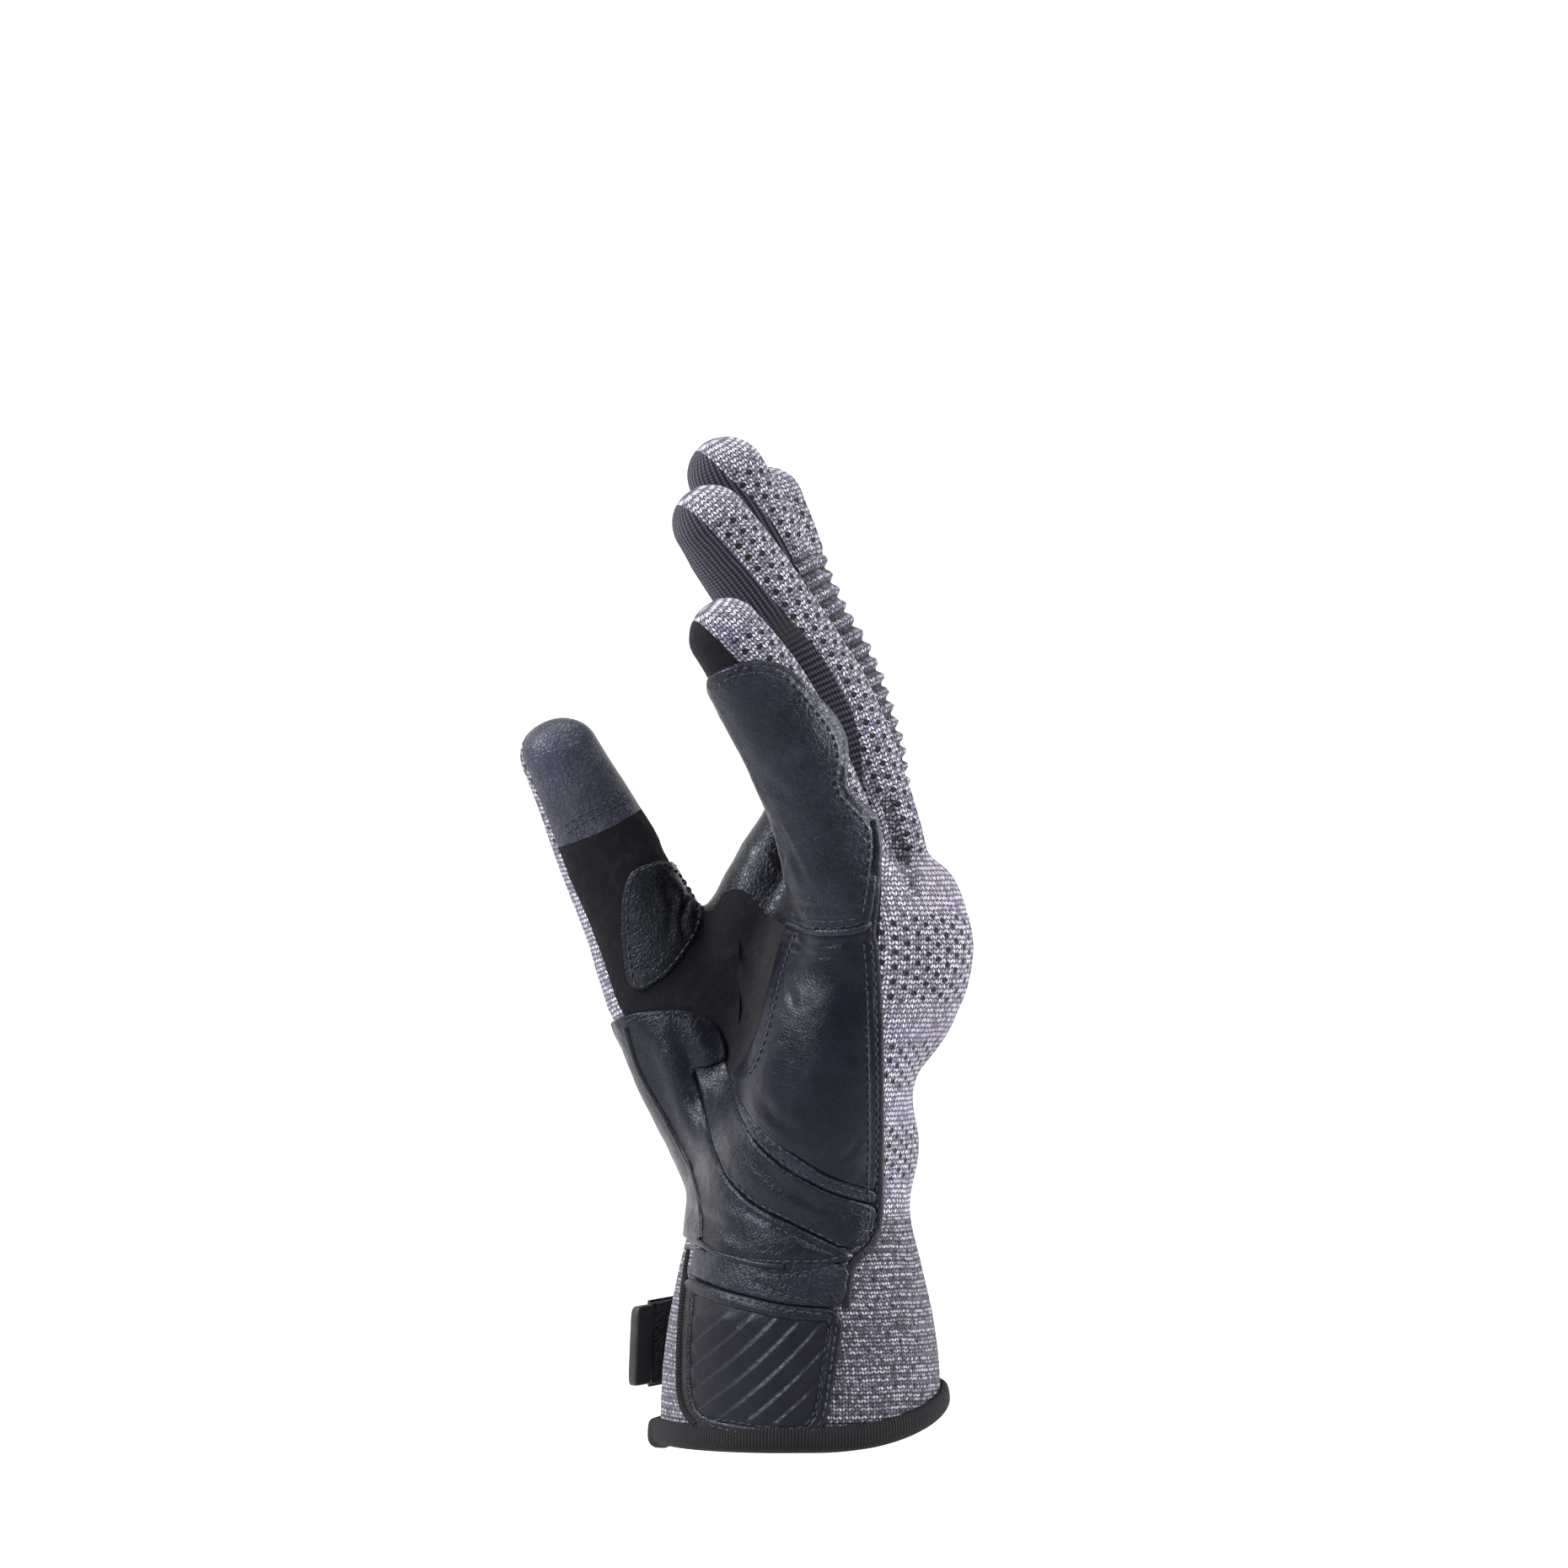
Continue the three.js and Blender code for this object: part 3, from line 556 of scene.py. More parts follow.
def arc_table(power):
    """Arc length round a quarter of a superellipse, for side ratios from 0.3 to 3."""
    ratios = np.linspace(0.3, 3, 40)
    phi = np.linspace(0, np.pi / 2, 121)
    c, s = np.cos(phi) ** (2 / power), np.sin(phi) ** (2 / power)
    table = []
    for r in ratios:
        step = np.hypot(np.diff(c), np.diff(s * r))
        table.append(np.concatenate([[0], np.cumsum(step)]))
    return ratios, phi, np.array(table)


def arc_length(table, power, u, v, a, b):
    """Signed arc from the +u end of a superellipse of half sizes a and b to the ray through u, v."""
    ratios, phi, lengths = table
    angle = np.arctan2(np.abs(v / b) ** (power / 2), np.abs(u / a) ** (power / 2))
    i = (np.clip(b / a, 0.301, 2.999) - ratios[0]) / (ratios[1] - ratios[0])
    j = angle / (phi[1] - phi[0])
    i0 = np.clip(np.floor(i).astype(int), 0, len(ratios) - 2)
    j0 = np.clip(np.floor(j).astype(int), 0, len(phi) - 2)
    fi, fj = i - i0, np.clip(j - j0, 0, 1)

    def mixed(col):
        return lengths[i0, col] * (1 - fi) + lengths[i0 + 1, col] * fi

    arc = mixed(j0) * (1 - fj) + mixed(j0 + 1) * fj
    quarter = mixed(np.full_like(j0, len(phi) - 1))
    arc = np.where(u >= 0, arc, 2 * quarter - arc)
    return np.sign(v) * arc * a


HAND_ARC, DIGIT_ARC = arc_table(HAND_POWER), arc_table(DIGIT_POWER)

_, hand_back, hand_front, hand_side, _ = hand_row(V[:, 2])
hand_x = hand_local(V)[2]
half = np.where(hand_x > 0, hand_back, hand_front)
hand_u = arc_length(HAND_ARC, HAND_POWER, hand_x, V[:, 1], half, hand_side)
data["u"] = hand_u
data["w"] = V[:, 2].copy()
for name, digit in PARTS.items():
    s, u, v, w = digit.local(V)
    a, b = np.interp(s, digit.rt, digit.ra), np.interp(s, digit.rt, digit.rb)
    data["s_" + name], data["u_" + name], data["v_" + name] = s + w, u, v
    data["a_" + name] = arc_length(DIGIT_ARC, DIGIT_POWER, u, v, a, b)
skin = Skin(V, T, data)

# Seams that two panels share, and the panels' outlines, as points of the picture.
BAND_TOP = [(873, 1273), (878, 1296), (894, 1323), (915, 1345), (948, 1367), (980, 1388)]
BAND_FOOT = [
    (865, 1273), (870, 1292), (880, 1319), (900, 1353), (926, 1376), (959, 1396), (991, 1411), (1036, 1425),
]
PAD_FOOT = [(836, 1310), (850, 1361), (867, 1398), (898, 1426), (948, 1450), (1005, 1479)]
OUTLINES = {
    "little_guard": [
        (840, 806), (853, 797), (873, 789), (900, 785), (922, 788), (943, 804), (965, 828), (987, 854),
        (998, 875), (1002, 901), (1000, 921), (1003, 937), (1016, 950), (1034, 967), (1040, 990),
        (1040, 1012), (1035, 1062), (1030, 1093), (1015, 1100), (990, 1104), (960, 1103), (940, 1096),
        (925, 1045), (880, 960),
    ],
    "hypothenar_leather": [
        (938, 1088), (1031, 1086), (1035, 1130), (1038, 1200), (1040, 1300), (1037, 1407), (1020, 1404),
        *BAND_TOP[::-1], (889, 1252), (902, 1219), (910, 1187), (922, 1140),
    ],
    "heel_band": [*BAND_TOP, (1037, 1407), *BAND_FOOT[::-1]],
    "heel_pad": [
        *BAND_FOOT, (1036, 1444), (1026, 1467), *PAD_FOOT[::-1], (822, 1262), (830, 1248), (857, 1246),
    ],
    "thenar_leather": [
        (729, 1210), (752, 1202), (796, 1197), (830, 1203), (850, 1215), (862, 1238), (864, 1258),
        (846, 1266), (822, 1270), *PAD_FOOT, (1004, 1492), (944, 1497), (897, 1494), (860, 1489),
        (815, 1470), (780, 1450), (690, 1250),
    ],
    "wrist_yoke": [
        (812, 1476), (900, 1490), (1008, 1490), (1000, 1546), (930, 1541), (863, 1526), (812, 1508),
    ],
    "wrist_tab": [
        (814, 1510), (863, 1526), (930, 1541), (1002, 1546), (990, 1623), (980, 1678), (968, 1694),
        (945, 1701), (905, 1700), (861, 1695), (832, 1688), (815, 1672), (808, 1640), (808, 1590),
    ],
    "thumb_patch": [
        (737, 1060), (748, 1031), (790, 1019), (822, 1050), (836, 1095), (800, 1152), (762, 1178),
        (744, 1168), (736, 1110),
    ],
}
FARTHEST = {  # how deep each panel goes, in mm from the middle of the hand
    "little_guard": 40, "hypothenar_leather": 4, "heel_band": 4, "heel_pad": 7, "thenar_leather": 26,
    "wrist_yoke": -10.5, "wrist_tab": -10.5, "thumb_patch": 24,
}


def corners(points):
    """Rounds a given outline lightly, keeping its corners."""
    p = from_px(points)
    for _ in range(2):
        q = np.roll(p, -1, 0)
        p = np.stack([0.82 * p + 0.18 * q, 0.18 * p + 0.82 * q], 1).reshape(-1, 2)
    return p


# Corrections of the outline in the side view, in mm: three fingers lean further back, the thumb is fuller
# and the knuckle's flank slimmer.
LEAN_Z = [148, 158, 166, 174, 190, 199, 207, 216]
LEANS = [  # little, ring, middle and index finger, at the heights in LEAN_Z
    (0, 0, 0, 0, 0, 0, 0, 0), (0, 1.4, 2.6, 3.4, 3.2, 2.0, 1.0, 0),
    (0, 1.6, 3.4, 5.0, 5.3, 4.6, 2.0, 0), (0, 1.2, 2.6, 3.8, 4.2, 3.6, 1.6, 0),
]
FINGER_DEPTHS = (-36, -10, 13, 38)  # where these fingers lie along the line of sight
SIDES = [  # z, left outline, how much to add there, right outline, how much to add there
    (60, -28.5, 0, 27, 0), (73, -32.9, 0, 30, -1.0), (82, -35.8, 1.3, 29.4, -1.7),
    (90, -39.4, 1.9, 29.8, -1.7), (98, -42.5, 2.5, 35.8, -1.9), (107, -43.3, 3.9, 41, -2.6),
    (115, -46.3, 3.7, 43.3, -1.9), (123, -49.2, 3.1, 43.3, -1.0), (132, -52.7, 2.7, 41, -0.6),
    (140, -56.3, 2.6, 36.3, 1.0), (148, -60, 1.9, 28.5, 2.0), (157, -63.3, 1.3, 26.3, 0.8),
    (165, -66.7, 1.2, 23, 0), (173, -67.5, 1.2, 20, 0), (190, -67, 0, 16, 0),
]


def corrected(points):
    """Moves points of the skin or of the inner face by the corrections."""
    across, depth, z = side_xz(points)[:, 0], side_depth(points), points[:, 2]
    leans = np.stack([np.interp(z, LEAN_Z, row) for row in LEANS])
    place = np.interp(depth, FINGER_DEPTHS, range(4))
    low = np.minimum(place.astype(int), 2)
    share, column = place - low, np.arange(len(points))
    move = leans[low, column] * (1 - share) + leans[low + 1, column] * share
    move *= np.clip((across + 40) / 10, 0, 1)
    side_z, *columns = np.array(SIDES).T
    left_at, left_add, right_at, right_add = (np.interp(z, side_z, column) for column in columns)
    left, right = 1 - ease(across - left_at, 0, 15), 1 - ease(right_at - across, 0, 15)
    move += right_add * right - left_add * left
    return points + move[:, None] * np.array([CT, -ST, 0])


V[:] = corrected(V)

depth_here = side_depth(V)
for name, points in OUTLINES.items():
    data["g_" + name] = np.minimum(outline_field(corners(points))(skin), FARTHEST[name] - depth_here)
# The guard stays on the little finger's outer side.
turn = math.radians(-105)
out = data["u_little"] * math.cos(turn) + data["v_little"] * math.sin(turn)
guard = np.minimum(data["g_little_guard"], out + 0.1 * FINGERS["little"].depth)
data["g_little_guard"] = np.minimum(guard, 8 - depth_here)
print("fields done")


def pick(name, sign=1.0, level=0.0):
    return lambda s: sign * (s.data[name] - level)


def above(z):
    return lambda s: s.v[:, 2] - z


def below(z):
    return lambda s: z - s.v[:, 2]


def above_hem(gap):
    return lambda s: s.v[:, 2] - hem_z(s.v[:, 0]) - gap


def write(name, skin, material, uv=None, extra=()):
    """Makes a piece of a skin, with its map in mm and any data that its look reads."""
    mesh = bpy.data.meshes.new(name)
    v = (skin.v * 0.001).astype(np.float32)
    mesh.vertices.add(len(v))
    mesh.vertices.foreach_set("co", v.ravel())
    t = skin.t.astype(np.int32)
    mesh.loops.add(len(t) * 3)
    mesh.loops.foreach_set("vertex_index", t.ravel())
    mesh.polygons.add(len(t))
    mesh.polygons.foreach_set("loop_start", np.arange(0, len(t) * 3, 3, dtype=np.int32))
    mesh.polygons.foreach_set("loop_total", np.full(len(t), 3, np.int32))
    mesh.polygons.foreach_set("use_smooth", np.ones(len(t), bool))
    layer = mesh.uv_layers.new(name="mm")
    uv = side_xz(skin.v) if uv is None else uv
    layer.data.foreach_set("uv", uv[t.ravel()].astype(np.float32).ravel())
    for key in extra:
        a = mesh.attributes.new(key, "FLOAT", "POINT")
        a.data.foreach_set("value", skin.data[key].astype(np.float32))
    mesh.update(calc_edges=True)
    mesh.materials.append(material)
    piece = bpy.data.objects.new(name, mesh)
    bpy.context.scene.collection.objects.link(piece)
    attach(piece, "root")
    return piece


# Materials.


def srgb(*colour):
    shares = [c / 255 for c in colour]
    return (*(c / 12.92 if c <= 0.04045 else ((c + 0.055) / 1.055) ** 2.4 for c in shares), 1.0)


class Look:
    """Small helper for node materials. Distances in the pattern are mm."""

    def __init__(self, name, roughness=0.8, specular=0.3, sheen=0.0, sheen_tint=None):
        self.material = bpy.data.materials.new(name)
        self.material.use_nodes = True
        self.tree = self.material.node_tree
        self.shader = self.tree.nodes["Principled BSDF"]
        self.set("Roughness", roughness)
        self.set("Specular IOR Level", specular)
        self.set("Sheen Weight", sheen)
        self.set("Sheen Roughness", 0.45)
        if sheen_tint:
            self.set("Sheen Tint", sheen_tint)
        self.bumps = None

    def set(self, socket, value):
        self.feed(self.shader.inputs[socket], value)

    def node(self, kind, **inputs):
        n = self.tree.nodes.new(kind)
        for key, value in inputs.items():
            self.feed(n.inputs[key.replace("_", " ")], value)
        return n

    def feed(self, socket, value):
        if hasattr(value, "is_output"):
            self.tree.links.new(value, socket)
        else:
            socket.default_value = value

    def math(self, op, *values):
        n = self.tree.nodes.new("ShaderNodeMath")
        n.operation = op
        for i, value in enumerate(values):
            self.feed(n.inputs[i], value)
        return n.outputs[0]

    def add(self, a, b):
        return self.math("ADD", a, b)

    def sub(self, a, b):
        return self.math("SUBTRACT", a, b)

    def mul(self, a, b):
        return self.math("MULTIPLY", a, b)

    def divide(self, a, b):
        return self.math("DIVIDE", a, b)

    def fract(self, a):
        return self.math("FRACT", a)

    def floor(self, a):
        return self.math("FLOOR", a)

    def absolute(self, a):
        return self.math("ABSOLUTE", a)

    def wave(self, a, pitch):
        """A sine with this pitch, between -1 and 1."""
        return self.math("SINE", self.mul(a, 2 * math.pi / pitch))

    def ridges(self, a, pitch):
        """Round ridges with this pitch and narrow furrows between them, between 0 and 1."""
        return self.math("SINE", self.mul(self.fract(self.divide(a, pitch)), math.pi))

    def wobble(self, size, amount):
        """Soft noise on both sides of zero."""
        return self.mul(self.sub(self.noise(size, 2), 0.5), amount)

    def step(self, value, low, high, to_low=0.0, to_high=1.0):
        n = self.tree.nodes.new("ShaderNodeMapRange")
        n.interpolation_type = "SMOOTHSTEP"
        for i, x in enumerate((value, low, high, to_low, to_high)):
            self.feed(n.inputs[i], x)
        return n.outputs[0]

    def mix(self, factor, a, b):
        n = self.tree.nodes.new("ShaderNodeMix")
        n.data_type = "RGBA"
        self.feed(n.inputs[0], factor)
        self.feed(n.inputs[6], a)
        self.feed(n.inputs[7], b)
        return n.outputs[2]

    def uv(self):
        n = self.tree.nodes.new("ShaderNodeUVMap")
        n.uv_map = "mm"
        s = self.node("ShaderNodeSeparateXYZ", Vector=n.outputs[0])
        return s.outputs[0], s.outputs[1]

    def vector(self, x, y):
        return self.node("ShaderNodeCombineXYZ", X=x, Y=y).outputs[0]

    def place(self, scale):
        """Object coordinates in units of scale mm."""
        n = self.tree.nodes.new("ShaderNodeTexCoord")
        m = self.node("ShaderNodeVectorMath", Vector=n.outputs["Object"])
        m.operation = "SCALE"
        m.inputs["Scale"].default_value = 1000 / scale
        return m.outputs[0]

    def noise(self, size, detail=3.0, roughness=0.55):
        n = self.node("ShaderNodeTexNoise", Vector=self.place(size))
        n.inputs["Scale"].default_value = 1.0
        n.inputs["Detail"].default_value = detail
        n.inputs["Roughness"].default_value = roughness
        return n.outputs["Fac"]

    def cells(self, size, feature="DISTANCE_TO_EDGE"):
        n = self.node("ShaderNodeTexVoronoi", Vector=self.place(size))
        n.feature = feature
        n.inputs["Scale"].default_value = 1.0
        return n.outputs["Distance"]

    def attribute(self, name):
        n = self.tree.nodes.new("ShaderNodeAttribute")
        n.attribute_name = name
        return n.outputs["Fac"]

    def bump(self, height, mm):
        """Adds this height, times mm, to the one bump of the material."""
        height = self.mul(height, mm)
        if self.bumps is None:
            self.bumps = self.tree.nodes.new("ShaderNodeBump")
            self.bumps.inputs["Distance"].default_value = 0.001
            self.tree.links.new(self.bumps.outputs[0], self.shader.inputs["Normal"])
        else:
            height = self.add(self.height, height)
        self.height = height
        self.tree.links.new(height, self.bumps.inputs["Height"])


def stitches(look, u, v, wide, tall, slant):
    """Knitted legs as single marks: mask and a random tone for each."""
    leg = look.divide(u, wide)
    index = look.floor(leg)
    x = look.sub(look.fract(leg), 0.5)
    lean = look.sub(look.mul(look.fract(look.mul(index, 0.5)), 4.0), 1.0)
    row = look.add(look.divide(v, tall), look.mul(look.mul(x, lean), slant))
    y = look.sub(look.fract(row), 0.5)
    n = look.tree.nodes.new("ShaderNodeTexWhiteNoise")
    n.noise_dimensions = "2D"
    look.tree.links.new(look.vector(index, look.floor(row)), n.inputs["Vector"])
    across = look.step(look.absolute(x), 0.26, 0.48, 1.0, 0.0)
    along = look.step(look.absolute(y), 0.22, 0.44, 1.0, 0.0)
    return look.mul(across, along), n.outputs["Value"]


def eyelets(look, u, v, across, along, shift, wide, tall):
    """Staggered holes: the hole and the ring of yarn round it."""
    column = look.divide(u, across)
    index = look.floor(column)
    x = look.mul(look.sub(look.fract(column), 0.5), across)
    row = look.fract(look.add(look.divide(v, along), look.mul(index, shift)))
    y = look.mul(look.sub(row, 0.5), along)
    squares = (look.math("POWER", look.divide(a, half), 2.0) for a, half in ((x, wide), (y, tall)))
    far = look.add(look.math("SQRT", look.add(*squares)), look.wobble(0.8, 0.9))
    return look.step(far, 0.75, 1.15, 1.0, 0.0), look.step(far, 1.1, 1.9, 1.0, 0.0)


def knit_look():
    look = Look("knit_stitches", roughness=0.8, specular=0.2, sheen=0.12)
    u, v = look.uv()
    wobble = look.wobble(8, 0.9)
    u, v = look.add(u, wobble), look.add(v, wobble)
    yarn, chance = stitches(look, u, v, 0.88, 1.2, 0.55)
    hole, around = eyelets(look, u, v, 3.45, 3.6, 0.38, 0.95, 0.74)
    holes_here = look.attribute("eyelet")
    hole, around = look.mul(hole, holes_here), look.mul(around, holes_here)
    bright = look.mix(look.step(chance, 0.1, 0.95), srgb(108, 105, 124), srgb(226, 222, 238))
    bright = look.mix(look.mul(look.noise(16, 2), 0.4), bright, srgb(158, 142, 168))
    dark = look.mix(look.noise(1.2, 2), srgb(32, 31, 41), srgb(64, 61, 76))
    colour = look.mix(yarn, dark, bright)
    # Painted shade: the knit darkens in the creases between fingers and in the grooves of the folds.
    colour = look.mix(look.mul(look.attribute("painted_crease_shade"), 0.95), colour, srgb(17, 16, 23))
    # The eyelet holes are painted near-black, standing in for the shade inside them.
    colour = look.mix(hole, colour, srgb(8, 8, 12))
    look.set("Base Color", colour)
    raised = look.add(look.mul(yarn, look.add(0.7, look.mul(chance, 0.5))), look.mul(around, 0.5))
    look.bump(look.sub(raised, look.mul(hole, 2.2)), 0.34)
    look.bump(look.noise(0.35, 2), 0.07)
    return look.material


def cuff_look():
    look = Look("knit_cuff", roughness=0.82, specular=0.2, sheen=0.12)
    u, v = look.uv()
    wobble = look.wobble(11, 1.1)
    u, v = look.add(u, wobble), look.add(v, wobble)
    yarn, chance = stitches(look, u, v, 0.8, 0.98, 0.4)
    ridge = look.ridges(v, 2.3)
    hole, _ = eyelets(look, u, v, 3.2, 4.4, 0.5, 0.6, 0.5)
    bright = look.mix(look.step(chance, 0.1, 0.95), srgb(84, 83, 96), srgb(186, 185, 200))
    dark = look.mix(look.noise(1.5, 2), srgb(28, 27, 36), srgb(54, 52, 65))
    colour = look.mix(look.mul(yarn, look.step(ridge, 0.1, 0.8, 0.3, 1.0)), dark, bright)
    # The holes are painted dark, standing in for the shade inside them.
    colour = look.mix(look.mul(hole, 0.7), colour, srgb(14, 14, 19))
    look.set("Base Color", colour)
    look.bump(look.sub(look.add(look.mul(yarn, 0.7), look.mul(ridge, 1.3)), look.mul(hole, 1.5)), 0.34)
    look.bump(look.noise(0.35, 2), 0.06)
    return look.material


def rib_look():
    """Fine dark ribs: lengthwise at the fingertip, across lower down."""
    look = Look("rib_knit", roughness=0.8, specular=0.18, sheen=0.1)
    u, v = look.uv()
    wobble = look.wobble(10, 1.0)
    long_ribs, cross_ribs = look.ridges(look.add(u, wobble), 1.3), look.ridges(look.add(v, wobble), 1.5)
    across = look.attribute("cross")
    along = look.sub(1.0, across)
    ribs = look.add(look.mul(long_ribs, along), look.mul(cross_ribs, across))
    grain = look.wave(look.add(look.mul(v, along), look.mul(u, across)), 0.8)
    colour = look.mix(look.step(ribs, 0.5, 1.0), srgb(7, 7, 12), srgb(66, 62, 78))
    colour = look.mix(look.mul(look.noise(6, 3), 0.3), colour, srgb(56, 53, 70))
    look.set("Base Color", colour)
    look.bump(look.add(ribs, look.mul(grain, 0.2)), 0.42)
    look.bump(look.noise(0.4, 2), 0.05)
    return look.material


def suede_look():
    look = Look("suede", roughness=0.95, specular=0.06, sheen=0.05)
    nap = look.noise(0.55, 3, 0.7)
    patch = look.noise(13, 4, 0.6)
    rubbed = look.step(look.noise(5, 4, 0.7), 0.52, 0.72)
    colour = look.mix(patch, srgb(20, 20, 23), srgb(32, 32, 36))
    colour = look.mix(look.mul(rubbed, 0.4), colour, srgb(44, 44, 49))
    colour = look.mix(look.mul(nap, 0.35), colour, srgb(12, 12, 17))
    look.set("Base Color", colour)
    look.bump(nap, 0.22)
    look.bump(look.noise(3, 4, 0.6), 0.5)
    return look.material


def leather_look(name, low, high, worn, pebble=1.25, depth=0.05, roughness=(0.24, 0.4), crease=0.14,
                 specular=0.24):
    """Grained leather: pebbles of a size and depth in mm, soft folds, and a worn tone on top of them."""
    look = Look(name, specular=specular)
    look.set("Specular Tint", (0.8, 0.86, 1, 1))
    warp = look.noise(2.6, 2)
    cells = look.cells(pebble)
    fine = look.cells(pebble * 0.45)
    grain = look.step(cells, 0.02, 0.2)
    fold = look.noise(7.5, 3, 0.5)
    crinkle = look.step(look.absolute(look.sub(look.noise(4.0, 4, 0.6), 0.5)), 0.0, 0.045)
    tone = look.mix(look.step(look.noise(11, 3), 0.3, 0.7), low, high)
    tone = look.mix(look.mul(look.sub(1.0, grain), 0.5), tone, srgb(9, 9, 13))
    tone = look.mix(look.mul(look.step(fold, 0.58, 0.78), 0.3), tone, worn)
    look.set("Base Color", tone)
    matt = look.add(look.mul(look.noise(4, 3), 0.7), look.mul(grain, 0.3))
    look.set("Roughness", look.step(matt, 0.2, 0.9, roughness[1], roughness[0]))
    look.bump(look.add(grain, look.mul(look.step(fine, 0.0, 0.18), 0.3)), depth)
    look.bump(look.add(look.mul(crinkle, 0.35), look.mul(warp, 0.4)), crease)
    look.bump(fold, 0.35)
    return look.material


def tape_look():
    look = Look("binding_tape", roughness=0.8, specular=0.15)
    u, v = look.uv()
    weave = look.wave(look.add(u, look.mul(look.floor(look.divide(v, 1.15)), 0.4)), 0.8)
    height = look.add(look.wave(v, 0.8), look.mul(weave, 0.4))
    colour = look.mix(look.step(height, -1.0, 1.2), srgb(10, 10, 12), srgb(34, 34, 37))
    colour = look.mix(look.mul(look.noise(5, 3), 0.3), colour, srgb(42, 42, 46))
    look.set("Base Color", colour)
    look.bump(height, 0.14)
    look.bump(look.noise(0.5, 2), 0.06)
    return look.material


def fuzz_look():
    """Loop side of a hook-and-loop strap."""
    look = Look("strap_loops", roughness=0.96, specular=0.1, sheen=0.6, sheen_tint=srgb(150, 150, 160))
    loops = look.cells(0.75, "F1")
    tuft = look.noise(0.5, 4, 0.8)
    colour = look.mix(look.step(loops, 0.1, 0.7), srgb(52, 52, 56), srgb(10, 10, 12))
    colour = look.mix(look.mul(look.noise(7, 4, 0.7), 0.4), colour, srgb(34, 34, 38))
    look.set("Base Color", colour)
    look.bump(look.sub(tuft, loops), 0.5)
    return look.material


def rubber_look():
    look = Look("strap_rubber", roughness=0.46, specular=0.45)
    tone = look.mix(look.noise(6, 3), srgb(17, 17, 19), srgb(33, 33, 36))
    scuff = look.step(look.noise(1.1, 4, 0.75), 0.55, 0.75)
    look.set("Base Color", look.mix(look.mul(scuff, 0.25), tone, srgb(66, 66, 70)))
    look.set("Roughness", look.step(look.noise(2.5, 3), 0.3, 0.7, 0.38, 0.58))
    look.bump(look.noise(0.6, 3), 0.06)
    return look.material


def thread_look(name, low, high):
    look = Look(name, roughness=0.5, specular=0.3)
    twist = look.math("SINE", look.mul(look.noise(0.5, 1), 14.0))
    look.set("Base Color", look.mix(look.step(twist, -1.0, 1.0), low, high))
    look.bump(twist, 0.05)
    return look.material


KNIT, CUFF, RIB, SUEDE = knit_look(), cuff_look(), rib_look(), suede_look()
LEATHER = leather_look("leather", srgb(16, 16, 25), srgb(27, 28, 41), srgb(48, 50, 66), specular=0.27)
SMOOTH = leather_look("smooth_leather", srgb(12, 12, 21), srgb(20, 21, 33), srgb(38, 40, 55),
                      pebble=0.9, depth=0.025, crease=0.06, specular=0.19)
PALM_LEATHER = leather_look("palm_leather", srgb(9, 10, 14), srgb(17, 18, 23), srgb(32, 34, 40), crease=0.2)
PEBBLED = leather_look("pebbled_leather", srgb(40, 40, 52), srgb(54, 55, 69), srgb(76, 78, 94),
                       pebble=1.35, depth=0.08, specular=0.36)
PATCH = leather_look("patch_leather", srgb(9, 10, 14), srgb(16, 18, 23), srgb(38, 42, 48),
                     pebble=1.2, depth=0.07, specular=0.26)
HEEL_LEATHER = leather_look("heel_leather", srgb(13, 13, 21), srgb(21, 22, 33), srgb(38, 40, 54),
                            pebble=1.0, depth=0.035)
TAB = leather_look("tab_leather", srgb(13, 12, 18), srgb(21, 20, 27), srgb(36, 35, 43),
                   pebble=0.7, depth=0.02, roughness=(0.34, 0.48), crease=0.05)
TAPE, FUZZ, RUBBER = tape_look(), fuzz_look(), rubber_look()
THREAD = thread_look("thread_dark", srgb(10, 11, 17), srgb(50, 53, 70))
TAPE_LEATHER = leather_look("binding_leather", srgb(15, 15, 20), srgb(22, 22, 28), srgb(36, 37, 43),
                            pebble=0.9, depth=0.03)


# Pieces of the skin.

D = skin.data
fingers_near = np.minimum.reduce([D["d_" + f] for f in FINGERS])
others_near = np.minimum(fingers_near, D["d_hand"])
D["web_g"] = np.minimum(others_near, D["d_thumb"]) - D["d_web"]
D["thumb_g"] = np.minimum(others_near - D["d_thumb"], D["s_thumb"] - 0.3 * THUMB.length)
for f in FINGERS:
    rest = np.minimum.reduce([D["d_" + o] for o in FINGERS if o != f])
    D["own_" + f] = rest - D["d_" + f]
D["cover"] = np.maximum.reduce([D["g_" + name] for name in OUTLINES])
D["facing"] = -side_depth(N)
arch = from_px([(845, 1081), (856, 1062), (871, 1054), (888, 1059), (912, 1086), (935, 1101)])
side_view = side_xz(V)
D["over_arch"] = side_view[:, 1] - np.interp(side_view[:, 0], arch[:, 0], arch[:, 1])
D["web_own"] = np.minimum(D["web_g"], np.maximum(D["over_arch"], V[:, 0] - seam_x(V[:, 2])))


def band(x, low, high, soft):
    return ease(x, low - soft, low + soft) * (1 - ease(x, high - soft, high + soft))
